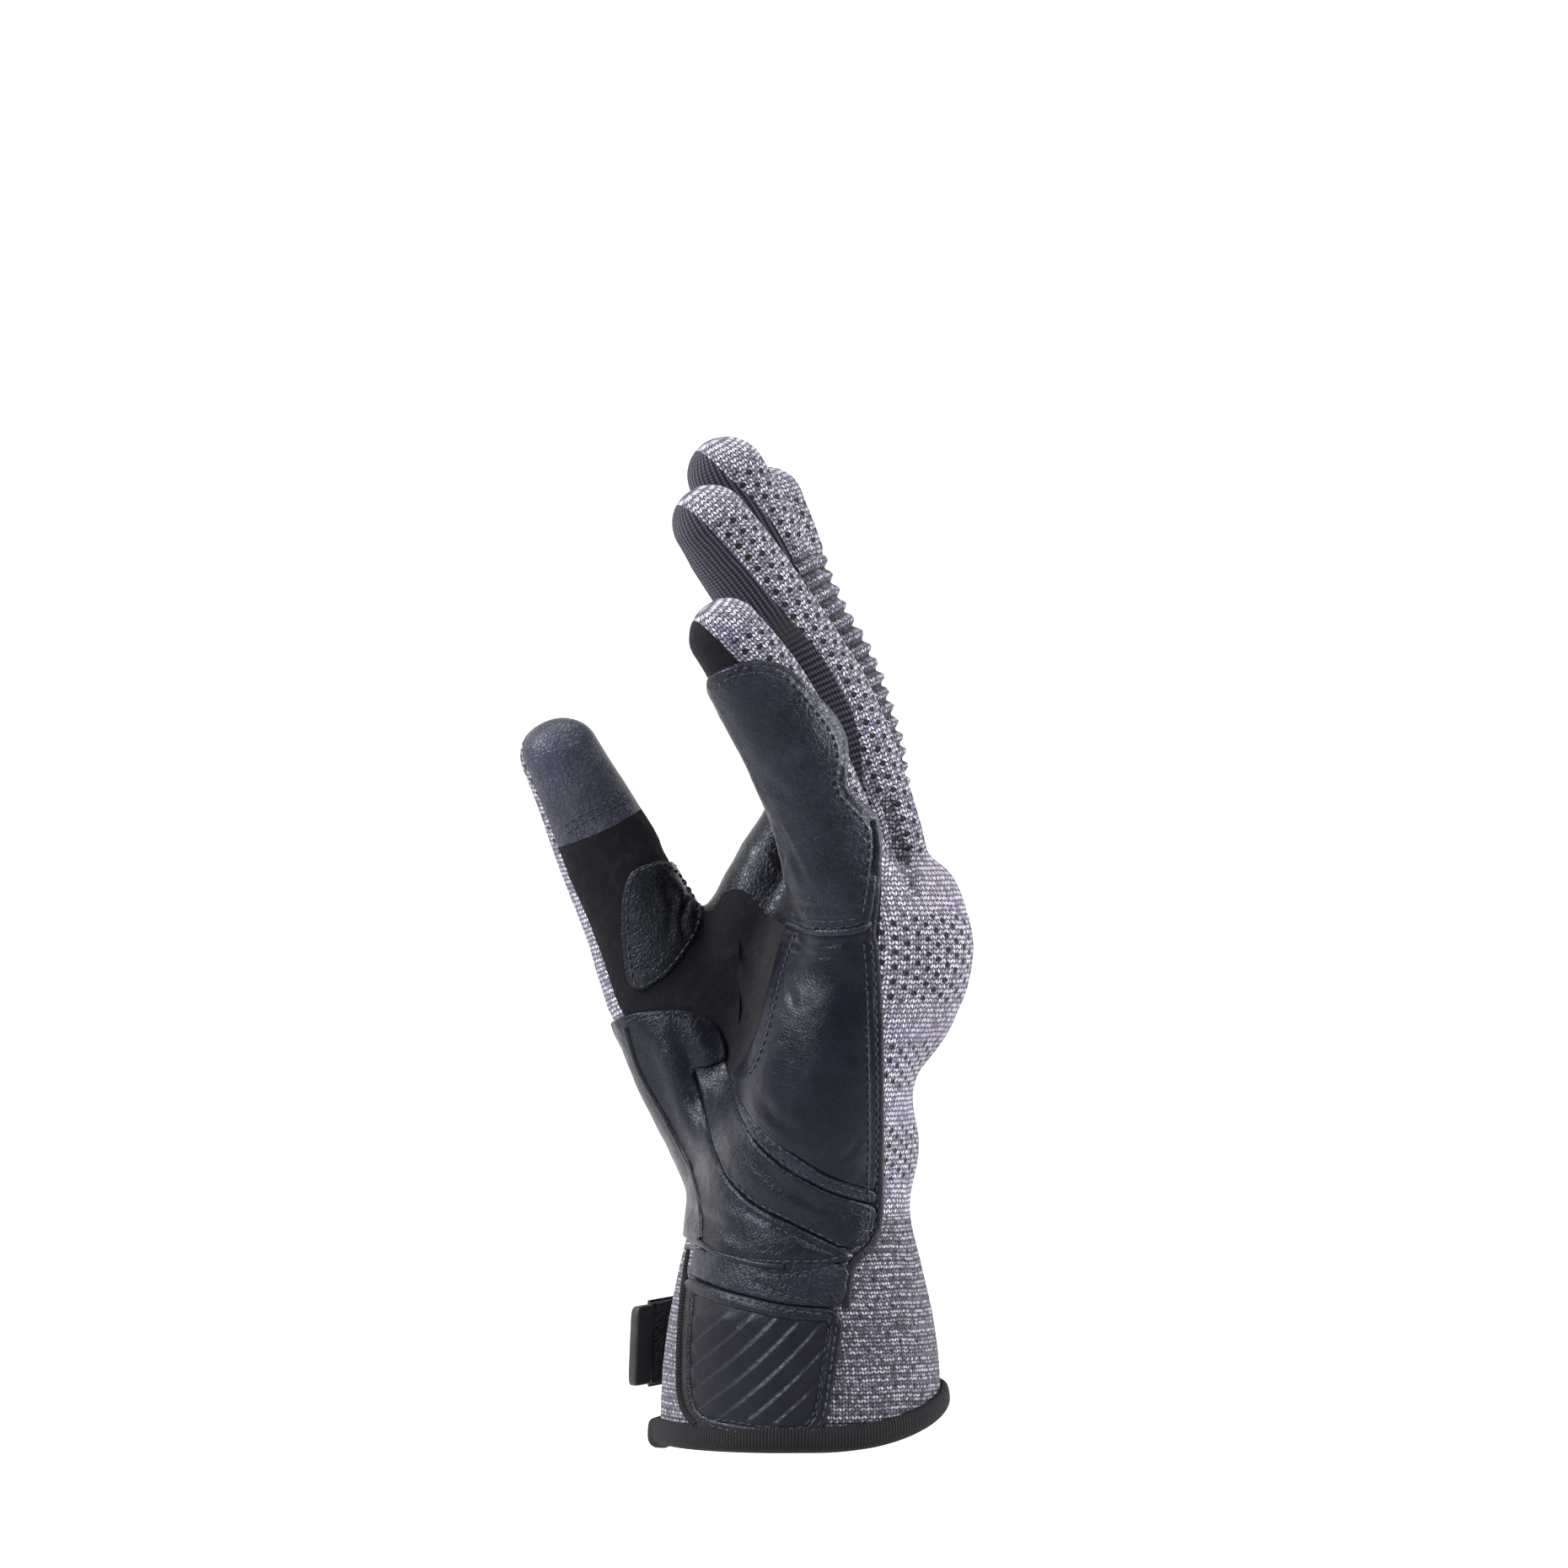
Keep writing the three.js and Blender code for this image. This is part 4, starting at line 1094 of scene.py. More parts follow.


# Where the knit has eyelets, and the folds across the backs of the fingers, with painted shade in their
# grooves.
EYELET_ZONES = ((109.5, 131), (88.5, 100), (65.5, 79.5))  # heights on the back of the hand, in mm
eyelet = np.zeros(len(V))
for low, high in EYELET_ZONES:
    eyelet = np.maximum(eyelet, band(V[:, 2], low, high, 0.8))
eyelet *= band(np.abs(hand_u), -1, 64, 2)
painted_crease_shade = np.zeros(len(V))
shift = np.zeros(len(V))
FOLD_PITCH = 3.8
FOLD_SPANS = {"index": (8, 74), "middle": (10, 76)}  # from and to, in mm above the fingers' roots
on_finger = V[:, 2] > FINGER_PLANE
for k, (f, digit) in enumerate(FINGERS.items()):
    own = D["own_" + f] > 0
    mine = (owner == k) | (on_finger & own)
    folds = np.zeros(len(V))
    if f in FOLD_SPANS:
        s = D["s_" + f] - np.interp(FINGER_PLANE, digit.p[:, 2], digit.s)
        on_back = ease(D["u_" + f] / np.interp(D["s_" + f], digit.rt, digit.ra), -0.35, 0.0)
        folds = band(s, *FOLD_SPANS[f], 3) * on_back * own
        phase = (s / FOLD_PITCH) % 1 - 0.5
        groove = np.exp(-((phase * FOLD_PITCH / 1.05) ** 2))
        top = mine & (V[:, 2] > FINGER_PLANE - 1)
        shift += np.where(top, folds * (0.4 - 1.6 * groove), 0)
        # Painted shade in the grooves of the folds.
        painted_crease_shade = np.where(top, np.maximum(painted_crease_shade, folds * groove**0.7), painted_crease_shade)
    reach = band(D["s_" + f], 2, digit.length - 9, 1.5) * (1 - folds)
    eyelet = np.where(mine & on_finger, reach, eyelet)
D["eyelet"] = eyelet
shift += 0.1 * values_noise(V, 7.0, 1) + 0.16 * values_noise(V, 14.0, 2)
# The crease between the little and ring fingers runs on down the back, pushed in and darkened with painted
# shade.
crease = rounded(from_px([(1052, 950), (1062, 988), (1071, 1019), (1081, 1045), (1090, 1070)]))
d, run = line_distance(side_view, crease)
length = run_along(crease)[-1]
weight = (D["facing"] > 0) * (V[:, 2] < FINGER_PLANE + 14) * ease(V[:, 0], 4, 9)
weight *= 1 - ease(run, 0.75 * length, length)
shift -= weight * 2.8 * np.exp(-((d / 1.1) ** 2))
painted_crease_shade = np.maximum(painted_crease_shade, weight * np.exp(-((d / 0.9) ** 2)))

# Neighbouring fingers meet in a sharp crease, and painted shade darkens the knit near where they meet.
nearest, second = np.sort(np.stack([D["d_" + f] for f in FINGERS]), 0)[:2]
between = np.maximum(second, 0)
above_roots = ease(V[:, 2], FINGER_PLANE - 4, FINGER_PLANE + 4)
shift -= 1.7 * np.exp(-((between / 1.3) ** 2)) * above_roots * (nearest < 3)
D["painted_crease_shade"] = np.maximum(painted_crease_shade, 0.85 * np.exp(-((between / 2.6) ** 2)) * above_roots)
D["base"] = shift

# Cross ribs on the lower undersides, lengthwise ribs near the tips.
cross = np.zeros(len(V))
for f, digit in FINGERS.items():
    lower = 1 - ease(D["s_" + f], 0.62 * digit.length, 0.7 * digit.length)
    cross = np.where(D["own_" + f] > 0, lower, cross)
D["cross"] = cross

# Folds of the leather and suede, given in the side view: line, depth and half width in mm.
FOLDS = {
    "palm_suede": [
        ([(850, 1105), (880, 1130), (905, 1170)], 0.6, 1.8),
        ([(850, 1160), (875, 1190), (890, 1230)], 0.7, 2.0),
        ([(735, 960), (765, 985), (790, 1000)], 0.4, 1.6),
    ],
    "upper_palm": [
        ([(850, 1000), (880, 1015), (915, 1050)], 0.6, 1.6),
        ([(845, 1030), (870, 1040), (900, 1062)], 0.5, 1.4),
        ([(860, 960), (895, 985), (925, 1020)], 0.6, 1.6),
    ],
    "little_guard": [
        ([(900, 900), (925, 930), (945, 948)], 0.3, 1.3), ([(918, 958), (934, 992), (940, 1036)], 0.5, 0.9),
        ([(930, 972), (948, 1010), (962, 1048)], 0.4, 0.8),
        ([(945, 1060), (965, 1071), (1000, 1075)], 0.35, 0.8),
        ([(926, 1000), (933, 1030), (946, 1062)], 0.4, 0.7),
    ],
    "hypothenar_leather": [
        ([(946, 1112), (975, 1117), (1012, 1114)], 0.25, 0.7),
        ([(942, 1126), (975, 1131), (1000, 1128)], 0.2, 0.7),
        ([(926, 1150), (940, 1168), (948, 1196)], 0.25, 1.1),
        ([(984, 1374), (1004, 1360), (1016, 1340)], 0.3, 0.8),
        ([(900, 1288), (925, 1320), (960, 1345)], 0.25, 1.6),
    ],
    "thumb_patch": [
        ([(797, 1034), (812, 1062), (805, 1096), (815, 1122)], 0.6, 0.9),
        ([(780, 1044), (795, 1080), (789, 1122)], 0.4, 1.2),
        ([(804, 1040), (822, 1070), (826, 1100)], 0.4, 0.7),
    ],
    "thenar_leather": [
        ([(760, 1222), (785, 1290), (812, 1360), (850, 1430)], 1.0, 3.0),
        ([(800, 1215), (822, 1270), (835, 1330)], 0.8, 2.4),
        ([(790, 1400), (830, 1440), (890, 1465)], 0.7, 2.2),
        ([(775, 1330), (800, 1390), (830, 1430)], 0.6, 2.0),
    ],
    "heel_pad": [([(900, 1370), (930, 1400), (980, 1430)], 0.35, 1.6)],
}


def folded(s, name):
    """Pushes the folds of one piece into it."""
    push = np.zeros(len(s.v))
    q = side_xz(s.v)
    near_side = ease(s.data["facing"], -0.1, 0.25)
    for points, deep, wide in FOLDS.get(name, ()):
        line = rounded(from_px(points))
        d, run = line_distance(q, line)
        total = run_along(line)[-1]
        fade = np.minimum(1, np.minimum(run, total - run) / (0.3 * total) + 0.15)
        t = d / wide
        push += near_side * fade * deep * (-np.exp(-t * t) + 0.45 * np.exp(-((t - 1.7) ** 2) / 0.8))
    return push


EDGE_OF_KNIT = {  # share of the length, and how far behind the finger's middle the knit ends, in depths
    "index": [(0, -0.12), (1, -0.2)],
    "middle": [(0, 0.1), (0.7, 0.16), (0.8, 0.12), (0.87, 0.02), (0.93, -0.1), (1, -0.18)],
    "ring": [
        (0, -0.3), (0.25, -0.1), (0.36, 0.05), (0.45, 0.14), (0.58, 0.13), (0.68, 0.04), (0.77, -0.04),
        (0.93, -0.13), (1, -0.18),
    ],
    "little": [(0, -0.1), (0.7, -0.1), (0.95, -0.19)],
}
LITTLE_TIP, THUMB_TIP = 0.76 * FINGERS["little"].length, 0.77 * THUMB.length  # where these tips begin
THUMB_KNIT_EDGE = 4.6
REMOVE_UNDER = 2.6  # how far the cloth reaches in under a panel sewn on it
made = {}


def base_piece(name, cuts, material, uv, extra=(), wrinkle=0.0):
    """Cuts a piece out of the skin, opens it under the sewn panels and gives it its folds."""
    s = skin.cut(*cuts, pick("cover", -1, REMOVE_UNDER)).largest()
    amount = s.data["base"] + folded(s, name)
    if name == "palm_suede":  # runs on a little under the thumb's suede
        amount = amount - 0.45 * ease(s.data["thumb_g"], 0, 0.6)
    if wrinkle:
        amount = amount + wrinkle * (values_noise(s.v, 5.0, 3) + 0.5 * values_noise(s.v, 2.4, 4))
    s = s.push(amount)
    made[name] = s
    piece = write(name + "_cloth", s, material, uv(s), extra)
    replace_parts(piece, name)


def hand_uv(s):
    return np.stack([s.data["u"], s.data["w"]], 1)


def digit_uv(name):
    return lambda s: np.stack([s.data["a_" + name], s.data["s_" + name]], 1)


def back_side(s):
    return s.v[:, 0] - seam_x(s.v[:, 2])


def palm_side(s):
    return -back_side(s)


knit_data = ("eyelet", "painted_crease_shade")
hand_only = [pick("web_g", -1), pick("thumb_g", -1), below(FINGER_PLANE)]

base_piece("cuff_knit", [below(CUFF_HEIGHT), above_hem(1.2)], CUFF, hand_uv)
base_piece("back_knit", [*hand_only, above(CUFF_HEIGHT), back_side], KNIT, hand_uv, knit_data)
palm = [pick("thumb_g", -1, 0.9), below(FINGER_PLANE), above(CUFF_HEIGHT), palm_side, pick("over_arch", -1)]
base_piece("palm_suede", palm, SUEDE, hand_uv, wrinkle=0.2)
under_fingers = [*hand_only, pick("over_arch"), palm_side]
base_piece("upper_palm", under_fingers, PALM_LEATHER, hand_uv, wrinkle=0.12)
base_piece("thumb_web", [pick("web_own")], PALM_LEATHER, digit_uv("web"), wrinkle=0.15)
for f, digit in FINGERS.items():
    own = [above(FINGER_PLANE), pick("web_g", -1), pick("thumb_g", -1), pick("own_" + f)]
    shares, edges = np.array(EDGE_OF_KNIT[f]).T
    D["edge_" + f] = D["u_" + f] - digit.depth * np.interp(D["s_" + f] / digit.length, shares, edges)
    uv = digit_uv(f)
    base_piece(f + "_knit", [*own, pick("edge_" + f)], KNIT, uv, knit_data)
    under = [*own, pick("edge_" + f, -1)]
    if f == "little":
        base_piece("little_tip", [*under, pick("s_little", 1, LITTLE_TIP)], SUEDE, uv, wrinkle=0.12)
        under.append(pick("s_little", -1, LITTLE_TIP))
    base_piece(f + "_underside", under, RIB, uv, ("cross",))
turn = math.radians(132)
D["thumb_back"] = D["u_thumb"] * math.cos(turn) + D["v_thumb"] * math.sin(turn)
thumb, uv = [pick("web_own", -1), pick("thumb_g")], digit_uv("thumb")
base_piece("thumb_knit", [*thumb, pick("thumb_back", 1, THUMB_KNIT_EDGE)], KNIT, uv, knit_data)
thumb.append(pick("thumb_back", -1, THUMB_KNIT_EDGE))
base_piece("thumb_tip", [*thumb, pick("s_thumb", 1, THUMB_TIP)], PEBBLED, uv, wrinkle=0.1)
base_piece("thumb_suede", [*thumb, pick("s_thumb", -1, THUMB_TIP)], SUEDE, uv, wrinkle=0.2)
print("base pieces done")

# Rows of stitching, as points of the picture.
STITCH_PITCH = 2.3
ROWS = {
    "guard_edge": [
        (858, 803), (880, 796), (903, 793), (925, 799), (944, 817), (964, 841), (983, 866), (991, 884),
        (993, 903), (990, 924), (996, 944), (1010, 960), (1025, 976), (1030, 992), (1030, 1015),
        (1025, 1060), (1021, 1083),
    ],
    "guard_top": [(846, 820), (868, 806), (898, 800), (915, 803)],
    "guard_foot": [(940, 1084), (965, 1090), (997, 1090), (1022, 1085)],
    "guard_foot_low": [(941, 1092), (965, 1098), (995, 1098), (1022, 1092)],
    "side_inner": [
        (1022, 1112), (1026, 1160), (1028, 1230), (1029, 1300), (1029, 1360), (1028, 1400), (1030, 1440),
        (1020, 1462), (1006, 1472),
    ],
    "side_outer": [
        (1032, 1112), (1036, 1160), (1038, 1230), (1039, 1300), (1039, 1360), (1038, 1400), (1038, 1442),
        (1027, 1468), (1010, 1482),
    ],
    "band_upper": [(895, 1328), (915, 1349), (948, 1371), (980, 1392), (1026, 1410)],
    "band_lower": [(900, 1349), (926, 1371), (959, 1391), (991, 1406), (1026, 1418)],
    "pad_edge": [(872, 1399), (898, 1421), (948, 1446), (1003, 1475)],
    "pad_lower": [(892, 1434), (920, 1450), (948, 1464), (980, 1480), (996, 1486)],
    "thenar_foot": [(862, 1484), (897, 1489), (944, 1490), (978, 1489), (998, 1484)],
    "yoke_top": [(905, 1503), (926, 1506), (965, 1500), (993, 1494)],
    "yoke_middle": [(900, 1516), (931, 1529), (982, 1539)],
    "yoke_foot": [(863, 1531), (897, 1538), (930, 1546), (982, 1552)],
    "tab_side_inner": [(984, 1552), (977, 1600), (971, 1640), (966, 1666), (950, 1684), (930, 1685)],
    "tab_side_outer": [(993, 1552), (986, 1600), (981, 1640), (976, 1668), (965, 1686), (945, 1693)],
    "tab_foot_inner": [(930, 1685), (900, 1682), (868, 1677), (845, 1676)],
    "tab_foot_outer": [(945, 1693), (905, 1692), (870, 1688), (840, 1682)],
    "thumb_tip_upper": [(664, 983), (685, 969), (710, 957), (730, 946), (742, 941)],
    "thumb_tip_lower": [(668, 991), (690, 976), (715, 964), (735, 953), (746, 948)],
    "patch": [
        (743, 1110), (744, 1064), (754, 1037), (789, 1026), (816, 1054), (828, 1094), (796, 1146),
        (762, 1171), (750, 1162), (743, 1110),
    ],
    "suede_left": [(944, 1104), (930, 1145), (918, 1190), (910, 1222), (897, 1258), (886, 1276)],
    "palm_arch": [(856, 1062), (871, 1055), (888, 1060), (912, 1088)],
    "thenar_top": [(740, 1216), (755, 1208), (796, 1202), (826, 1209)],
}
row_lines = {name: rounded(from_px(points), 0.5) for name, points in ROWS.items()}


def row_grooves(s, deep=0.4, wide=0.55):
    """The grooves and puckers that the rows of stitching pull into a panel."""
    q = side_xz(s.v)
    low, high = q.min(0), q.max(0)
    push = np.zeros(len(q))
    for line in row_lines.values():
        if (line.max(0) < low).any() or (line.min(0) > high).any():
            continue
        close = ((q > line.min(0) - 2) & (q < line.max(0) + 2)).all(1) & (s.data["facing"] > 0)
        if not close.any():
            continue
        d, run = line_distance(q[close], line)
        pinch = 0.75 + 0.25 * np.cos(2 * np.pi * run / STITCH_PITCH)
        push[close] = np.minimum(push[close], -deep * pinch * np.exp(-((d / wide) ** 2)))
    return push


FOOT = 0.4  # how far above the skin a sewn panel's edge begins


def round_edge(g):
    """Rises from 0 to 1 in a quarter circle over the first mm inside an edge."""
    return np.sqrt(1 - (1 - np.clip(g, 0, 1)) ** 2)


# Panels sewn on top, with rounded edges, a slight pad inside and puckers along the seams.
PANELS = {  # material, slot, height, pad height, unevenness
    "little_guard": (LEATHER, "leather", 1.9, 0.6, 0.14),
    "hypothenar_leather": (SMOOTH, "leather", 1.25, 0.8, 0.06),
    "heel_band": (LEATHER, "leather", 1.1, 0.1, 0.14),
    "heel_pad": (HEEL_LEATHER, "heel_leather", 1.3, 0.9, 0.14),
    "thenar_leather": (HEEL_LEATHER, "leather", 1.25, 0.6, 0.14),
    "wrist_yoke": (LEATHER, "leather", 0.9, 0.1, 0.14),
    "thumb_patch": (PATCH, "tip_leather", 1.2, 0.3, 0.14),
}
for name, (material, slot, height, pad, uneven) in PANELS.items():
    s = skin.cut(pick("g_" + name)).largest()
    g = s.data["g_" + name]
    amount = FOOT + (height - FOOT) * round_edge(g) + pad * (1 - np.exp(-np.maximum(g - 1.5, 0) / 3.2))
    amount += folded(s, name) + uneven * values_noise(s.v, 6.0, 5) + 0.07 * values_noise(s.v, 2.4, 6)
    amount += 0.09 * np.exp(-g / 3) * values_noise(s.v, 1.7, 8)
    amount += row_grooves(s)
    if name == "heel_pad":  # its upper end runs in under the leather of the thumb's base
        amount *= 1 - 0.75 * ease(s.v[:, 2], 86.5, 92.5)
    s = s.push(amount).hem(height)
    made[name] = s
    piece = write(name + "_sewn", s, material)
    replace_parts(piece, name)
print("panels done")

# Wrist tab: a bound edge and a field with slanting ribs.
s = skin.cut(pick("g_wrist_tab"), pick("g_wrist_tab", -1, 3.4)).largest()
g = s.data["g_wrist_tab"]
amount = FOOT + 1.35 * round_edge(g) + row_grooves(s, 0.3, 0.5)
amount -= 0.5 * ease(g, 2.9, 3.4)
s = s.push(amount).hem(1.5)
made["tab_binding"] = s
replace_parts(write("tab_binding_sewn", s, TAPE_LEATHER), "tab_binding")

s = skin.cut(pick("g_wrist_tab", 1, 2.7)).largest()
RIB_PITCH, RIB_TILT, RIB_BEND = 4.5, math.radians(41), 0.0035
(corner_x, corner_z), (_, top_z) = from_px([(817, 1676), (0, 1548)])
right, up = side_xz(s.v).T - np.array([[corner_x], [corner_z]])
across_ribs = -right * math.sin(RIB_TILT) + up * math.cos(RIB_TILT)
along_ribs = right * math.cos(RIB_TILT) + up * math.sin(RIB_TILT)
across_ribs = across_ribs - RIB_BEND * (along_ribs - 16) ** 2
phase = (across_ribs / RIB_PITCH + 0.15) % 1
saw = np.where(phase < 0.86, phase / 0.86, (1 - phase) / 0.14)
fade = ease(s.data["g_wrist_tab"], 3.0, 4.4) * ease(top_z - s.v[:, 2], 0.0, 3.0)
amount = 1.05 + 0.85 * (saw - 0.35) * fade + 0.05 * values_noise(s.v, 3.0, 9) + row_grooves(s, 0.3, 0.5)
s = s.push(amount).hem(0.6)
made["wrist_tab"] = s
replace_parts(write("wrist_tab_sewn", s, TAB), "wrist_tab")


# Stitches, bindings and tape.


class Bare:
    """Plain triangles with a map in mm, for pieces that aren't cut from the skin."""

    def __init__(self, v, t, uv):
        self.v, self.t, self.uv, self.data = v, t, uv, {}


def sheet_of(points, uv, close_rows=False, close_columns=False):
    """Triangles over a grid of points (rows, columns, 3)."""
    r, c = points.shape[:2]
    i = np.arange(r if close_rows else r - 1)
    j = np.arange(c if close_columns else c - 1)
    i, j = np.meshgrid(i, j, indexing="ij")
    a = (i * c + j).ravel()
    b = (i * c + (j + 1) % c).ravel()
    d = (((i + 1) % r) * c + j).ravel()
    e = (((i + 1) % r) * c + (j + 1) % c).ravel()
    t = np.concatenate([np.stack([a, b, e], 1), np.stack([a, e, d], 1)])
    return Bare(points.reshape(-1, 3), t, uv.reshape(-1, 2))


def joined(parts):
    v, t, uv, n = [], [], [], 0
    for p in parts:
        v.append(p.v)
        t.append(p.t + n)
        uv.append(p.uv)
        n += len(p.v)
    return Bare(np.concatenate(v), np.concatenate(t), np.concatenate(uv))


def unit(a):
    return a / np.maximum(np.linalg.norm(a, axis=-1, keepdims=True), 1e-9)


outer = joined([Bare(s.v, s.t, side_xz(s.v)) for s in made.values()])
surface = BVHTree.FromPolygons(outer.v.tolist(), outer.t.tolist())
SIGHT = Vector((ST, CT, 0))


def drop(line, lift=0.0):
    """Places points of the side view on what the camera sees there."""
    points, normals = [], []
    for across, height in line:
        start = Vector((CT * across - ST * 200, -ST * across - CT * 200, height))
        hit, normal, _, _ = surface.ray_cast(start, SIGHT, 400)
        if hit is None:
            continue
        if normal.dot(SIGHT) > 0:
            normal = -normal
        points.append(hit)
        normals.append(normal)
    if len(points) < 3:
        return None
    p, n = np.array(points), np.array(normals)
    for _ in range(6):
        n[1:-1] = (n[:-2] + n[1:-1] + n[2:]) / 3
        p[1:-1] = (p[:-2] + 2 * p[1:-1] + p[2:]) / 4
    n = unit(n)
    return p + n * lift, n


def at_runs(t, run, table):
    """The rows of a table at other places along the same line."""
    return np.stack([np.interp(t, run, column) for column in table.T], 1)


def resample(p, n, step):
    run = run_along(p)
    t = np.linspace(0, run[-1], max(2, int(round(run[-1] / step))) + 1)
    return at_runs(t, run, p), unit(at_runs(t, run, n)), t


def strip(line, profile, lift=0.0, step=0.6):
    """Sweeps a profile (side, up) in mm along a line of the side view."""
    laid = drop(line, lift)
    if laid is None:
        return None
    p, n, t = resample(*laid, step)
    tangent = unit(np.gradient(p, axis=0))
    side = unit(np.cross(tangent, n))
    profile = np.asarray(profile, float)
    points = p[:, None] + side[:, None] * profile[None, :, :1] + n[:, None] * profile[None, :, 1:]
    uv = np.stack(np.broadcast_arrays(run_along(profile)[None, :], t[:, None]), -1)
    return sheet_of(points, uv)


def half_round(width, height, n=9):
    a = np.linspace(math.pi, 0, n)
    return [(width / 2 * math.cos(x), height * math.sin(x) - 0.15) for x in a]


def add_strip(name, points, width, height, material, lift=0.1):
    s = strip(rounded(from_px(points), 0.6), half_round(width, height), lift)
    if s is not None:
        write(name, s, material, s.uv)


def stitches_along(line, length=1.75, radius=0.27):
    """Separate stitches lying in a seam."""
    laid = drop(line, 0.18)
    if laid is None:
        return []
    p, n, t = resample(*laid, 0.4)
    out = []
    jitter = np.random.RandomState(int(abs(line[0][0] * 97 + line[0][1] * 31)) % 9973)
    s = STITCH_PITCH * 0.4
    while s + length < t[-1]:
        size = length * (0.9 + 0.2 * jitter.rand())
        k = np.linspace(s, s + size, 6)
        q, m = at_runs(k, t, p), unit(at_runs(k, t, n))
        arch = np.sin(np.linspace(0, math.pi, 6)) * 0.22 - 0.2
        q = q + m * arch[:, None]
        tangent = unit(np.gradient(q, axis=0))
        side = unit(np.cross(tangent, m))
        side = unit(side + 0.12 * (jitter.rand() - 0.5) * tangent)
        r = radius * np.array([0.35, 0.85, 1, 1, 0.85, 0.35])
        a = np.arange(6) * math.pi / 3
        ring = q[:, None] + r[:, None, None] * (
            side[:, None] * np.cos(a)[None, :, None] + m[:, None] * np.sin(a)[None, :, None])
        uv = np.stack(np.broadcast_arrays((a * radius)[None, :], k[:, None]), -1)
        out.append(sheet_of(ring, uv, close_columns=True))
        s += STITCH_PITCH
    return out


threads = [stitch for line in row_lines.values() for stitch in stitches_along(line)]
thread = joined(threads)
write("seam_stitches", thread, THREAD, thread.uv)
print("stitches", len(threads))

# Bindings: strips along the panels' edges, as points of the picture.
add_strip("side_binding", [
    (1035, 972), (1040, 1010), (1037, 1060), (1033, 1098), (1036, 1130), (1041, 1200), (1043, 1300),
    (1043, 1400), (1041, 1446), (1032, 1472), (1012, 1490), (1006, 1510), (1003, 1546),
], 2.4, 0.9, TAPE_LEATHER, 0.0)
add_strip("guard_lip", [
    (936, 1097), (962, 1103), (992, 1104), (1018, 1100), (1031, 1092),
], 2.1, 1.15, LEATHER)
add_strip("tab_piping", [
    (818, 1482), (812, 1520), (807, 1586), (807, 1645), (815, 1672), (832, 1688),
], 2.0, 1.1, TAPE, -0.1)
add_strip("thenar_binding", [
    (741, 1222), (757, 1272), (790, 1332), (816, 1382), (824, 1404), (831, 1430), (832, 1466),
], 2.0, 0.7, TAPE_LEATHER, 0.0)
add_strip("thenar_lip", [
    (829, 1468), (845, 1480), (863, 1486), (897, 1493), (930, 1496),
], 1.7, 0.8, HEEL_LEATHER, 0.0)


# Hem tape folded over the cuff's edge, with its knot.
TAPE_Z = 3.0  # the height at which its run round the cuff is measured
KNOT_SIZE = 3.0


def ring_at(phi, z):
    """Points of the cuff's outline at these angles and heights."""
    c, s = np.cos(phi), np.sin(phi)
    centre, back, front, side, _ = hand_row(z)
    x = np.sign(c) * np.abs(c) ** (2 / HAND_POWER)
    y = np.sign(s) * np.abs(s) ** (2 / HAND_POWER)
    return np.stack([centre + x * np.where(c > 0, back, front), y * side], -1)


phi = np.linspace(0, 2 * math.pi, 1441)[:-1]
base_run = run_along(ring_at(phi, np.full_like(phi, TAPE_Z)))
around = np.linspace(0, base_run[-1], 421)[:-1]
phi = np.interp(around, base_run, phi)
base = ring_at(phi, np.full_like(phi, TAPE_Z))
foot = hem_z(base[:, 0])
forward = np.roll(base, -1, 0) - np.roll(base, 1, 0)
outward = unit(np.stack([forward[:, 1], -forward[:, 0]], 1))
if (outward * base).sum() < 0:
    outward = -outward
TAPE_PROFILE = [  # out from the cuff and up, in mm
    (-2.2, 5.0), (-3.0, 4.2), (-3.2, 2.4), (-2.7, 0.9), (-1.6, -0.1), (-0.3, -0.4), (0.9, 0.0), (1.8, 0.9),
    (2.2, 2.2), (2.15, 3.8), (1.9, 5.2), (1.3, 6.0), (0.5, 6.1), (0.0, 5.7),
]
prof = rounded(TAPE_PROFILE, 0.5)
knot_at = np.argmin(base[:, 0] * CT - base[:, 1] * ST)
lump = np.exp(-((np.linalg.norm(base - base[knot_at], axis=1) / KNOT_SIZE) ** 2))
knots = np.arange(0, len(phi) + 20, 20)
wave = 0.2 * np.interp(np.arange(len(phi)), knots, np.r_[rng.uniform(-1, 1, len(knots) - 1), 0.0])
points = np.zeros((len(phi), len(prof), 3))
for k, (o, h) in enumerate(prof):
    z = foot + h * (1 + 0.05 * wave) - lump * (1.2 if h < 3 else 0.3)
    off = o + (0.15 * wave + lump * 1.1) * (1 if o > 0 else -0.2)
    points[:, k, :2] = ring_at(phi, np.maximum(z, 0)) + outward * off[:, None]
    points[:, k, 2] = z
uv = np.stack(np.broadcast_arrays(run_along(prof)[None, :], around[:, None]), -1)
tape = sheet_of(points, uv, close_rows=True)
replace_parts(write("hem_tape_folded", tape, TAPE, tape.uv), "hem_tape")

# Strap: a band round the thumb side and its free end with a loop face and a moulded tip.
LEAVE = np.array([-0.3 * OPENING_DEPTH / 2, 1.01 * OPENING_WIDTH / 2])
STRAP_LOW, STRAP_HIGH, STRAP_REACH = 15, 37, 33.5
up, forward = V[:, 2], V[:, 0] - LEAVE[0]
skin.data["g_strap"] = np.minimum.reduce([
    up - STRAP_LOW, STRAP_HIGH - up, forward + 1.5, STRAP_REACH - forward, V[:, 1],
])
s = skin.cut(pick("g_strap")).largest()
g = s.data["g_strap"]
amount = FOOT + 1.9 * round_edge(g) - 0.35 * np.exp(-(((g - 2.2) / 0.5) ** 2))
s = s.push(amount).hem(2.0)
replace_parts(write("strap_band", s, TAPE_LEATHER, hand_uv(s)), "strap")
LEAVE_TURN = math.radians(22)
heading = np.array([-math.cos(LEAVE_TURN), -math.sin(LEAVE_TURN)])
beside = np.array([heading[1], -heading[0]])


def power(x, e):
    return np.sign(x) * np.abs(x) ** e


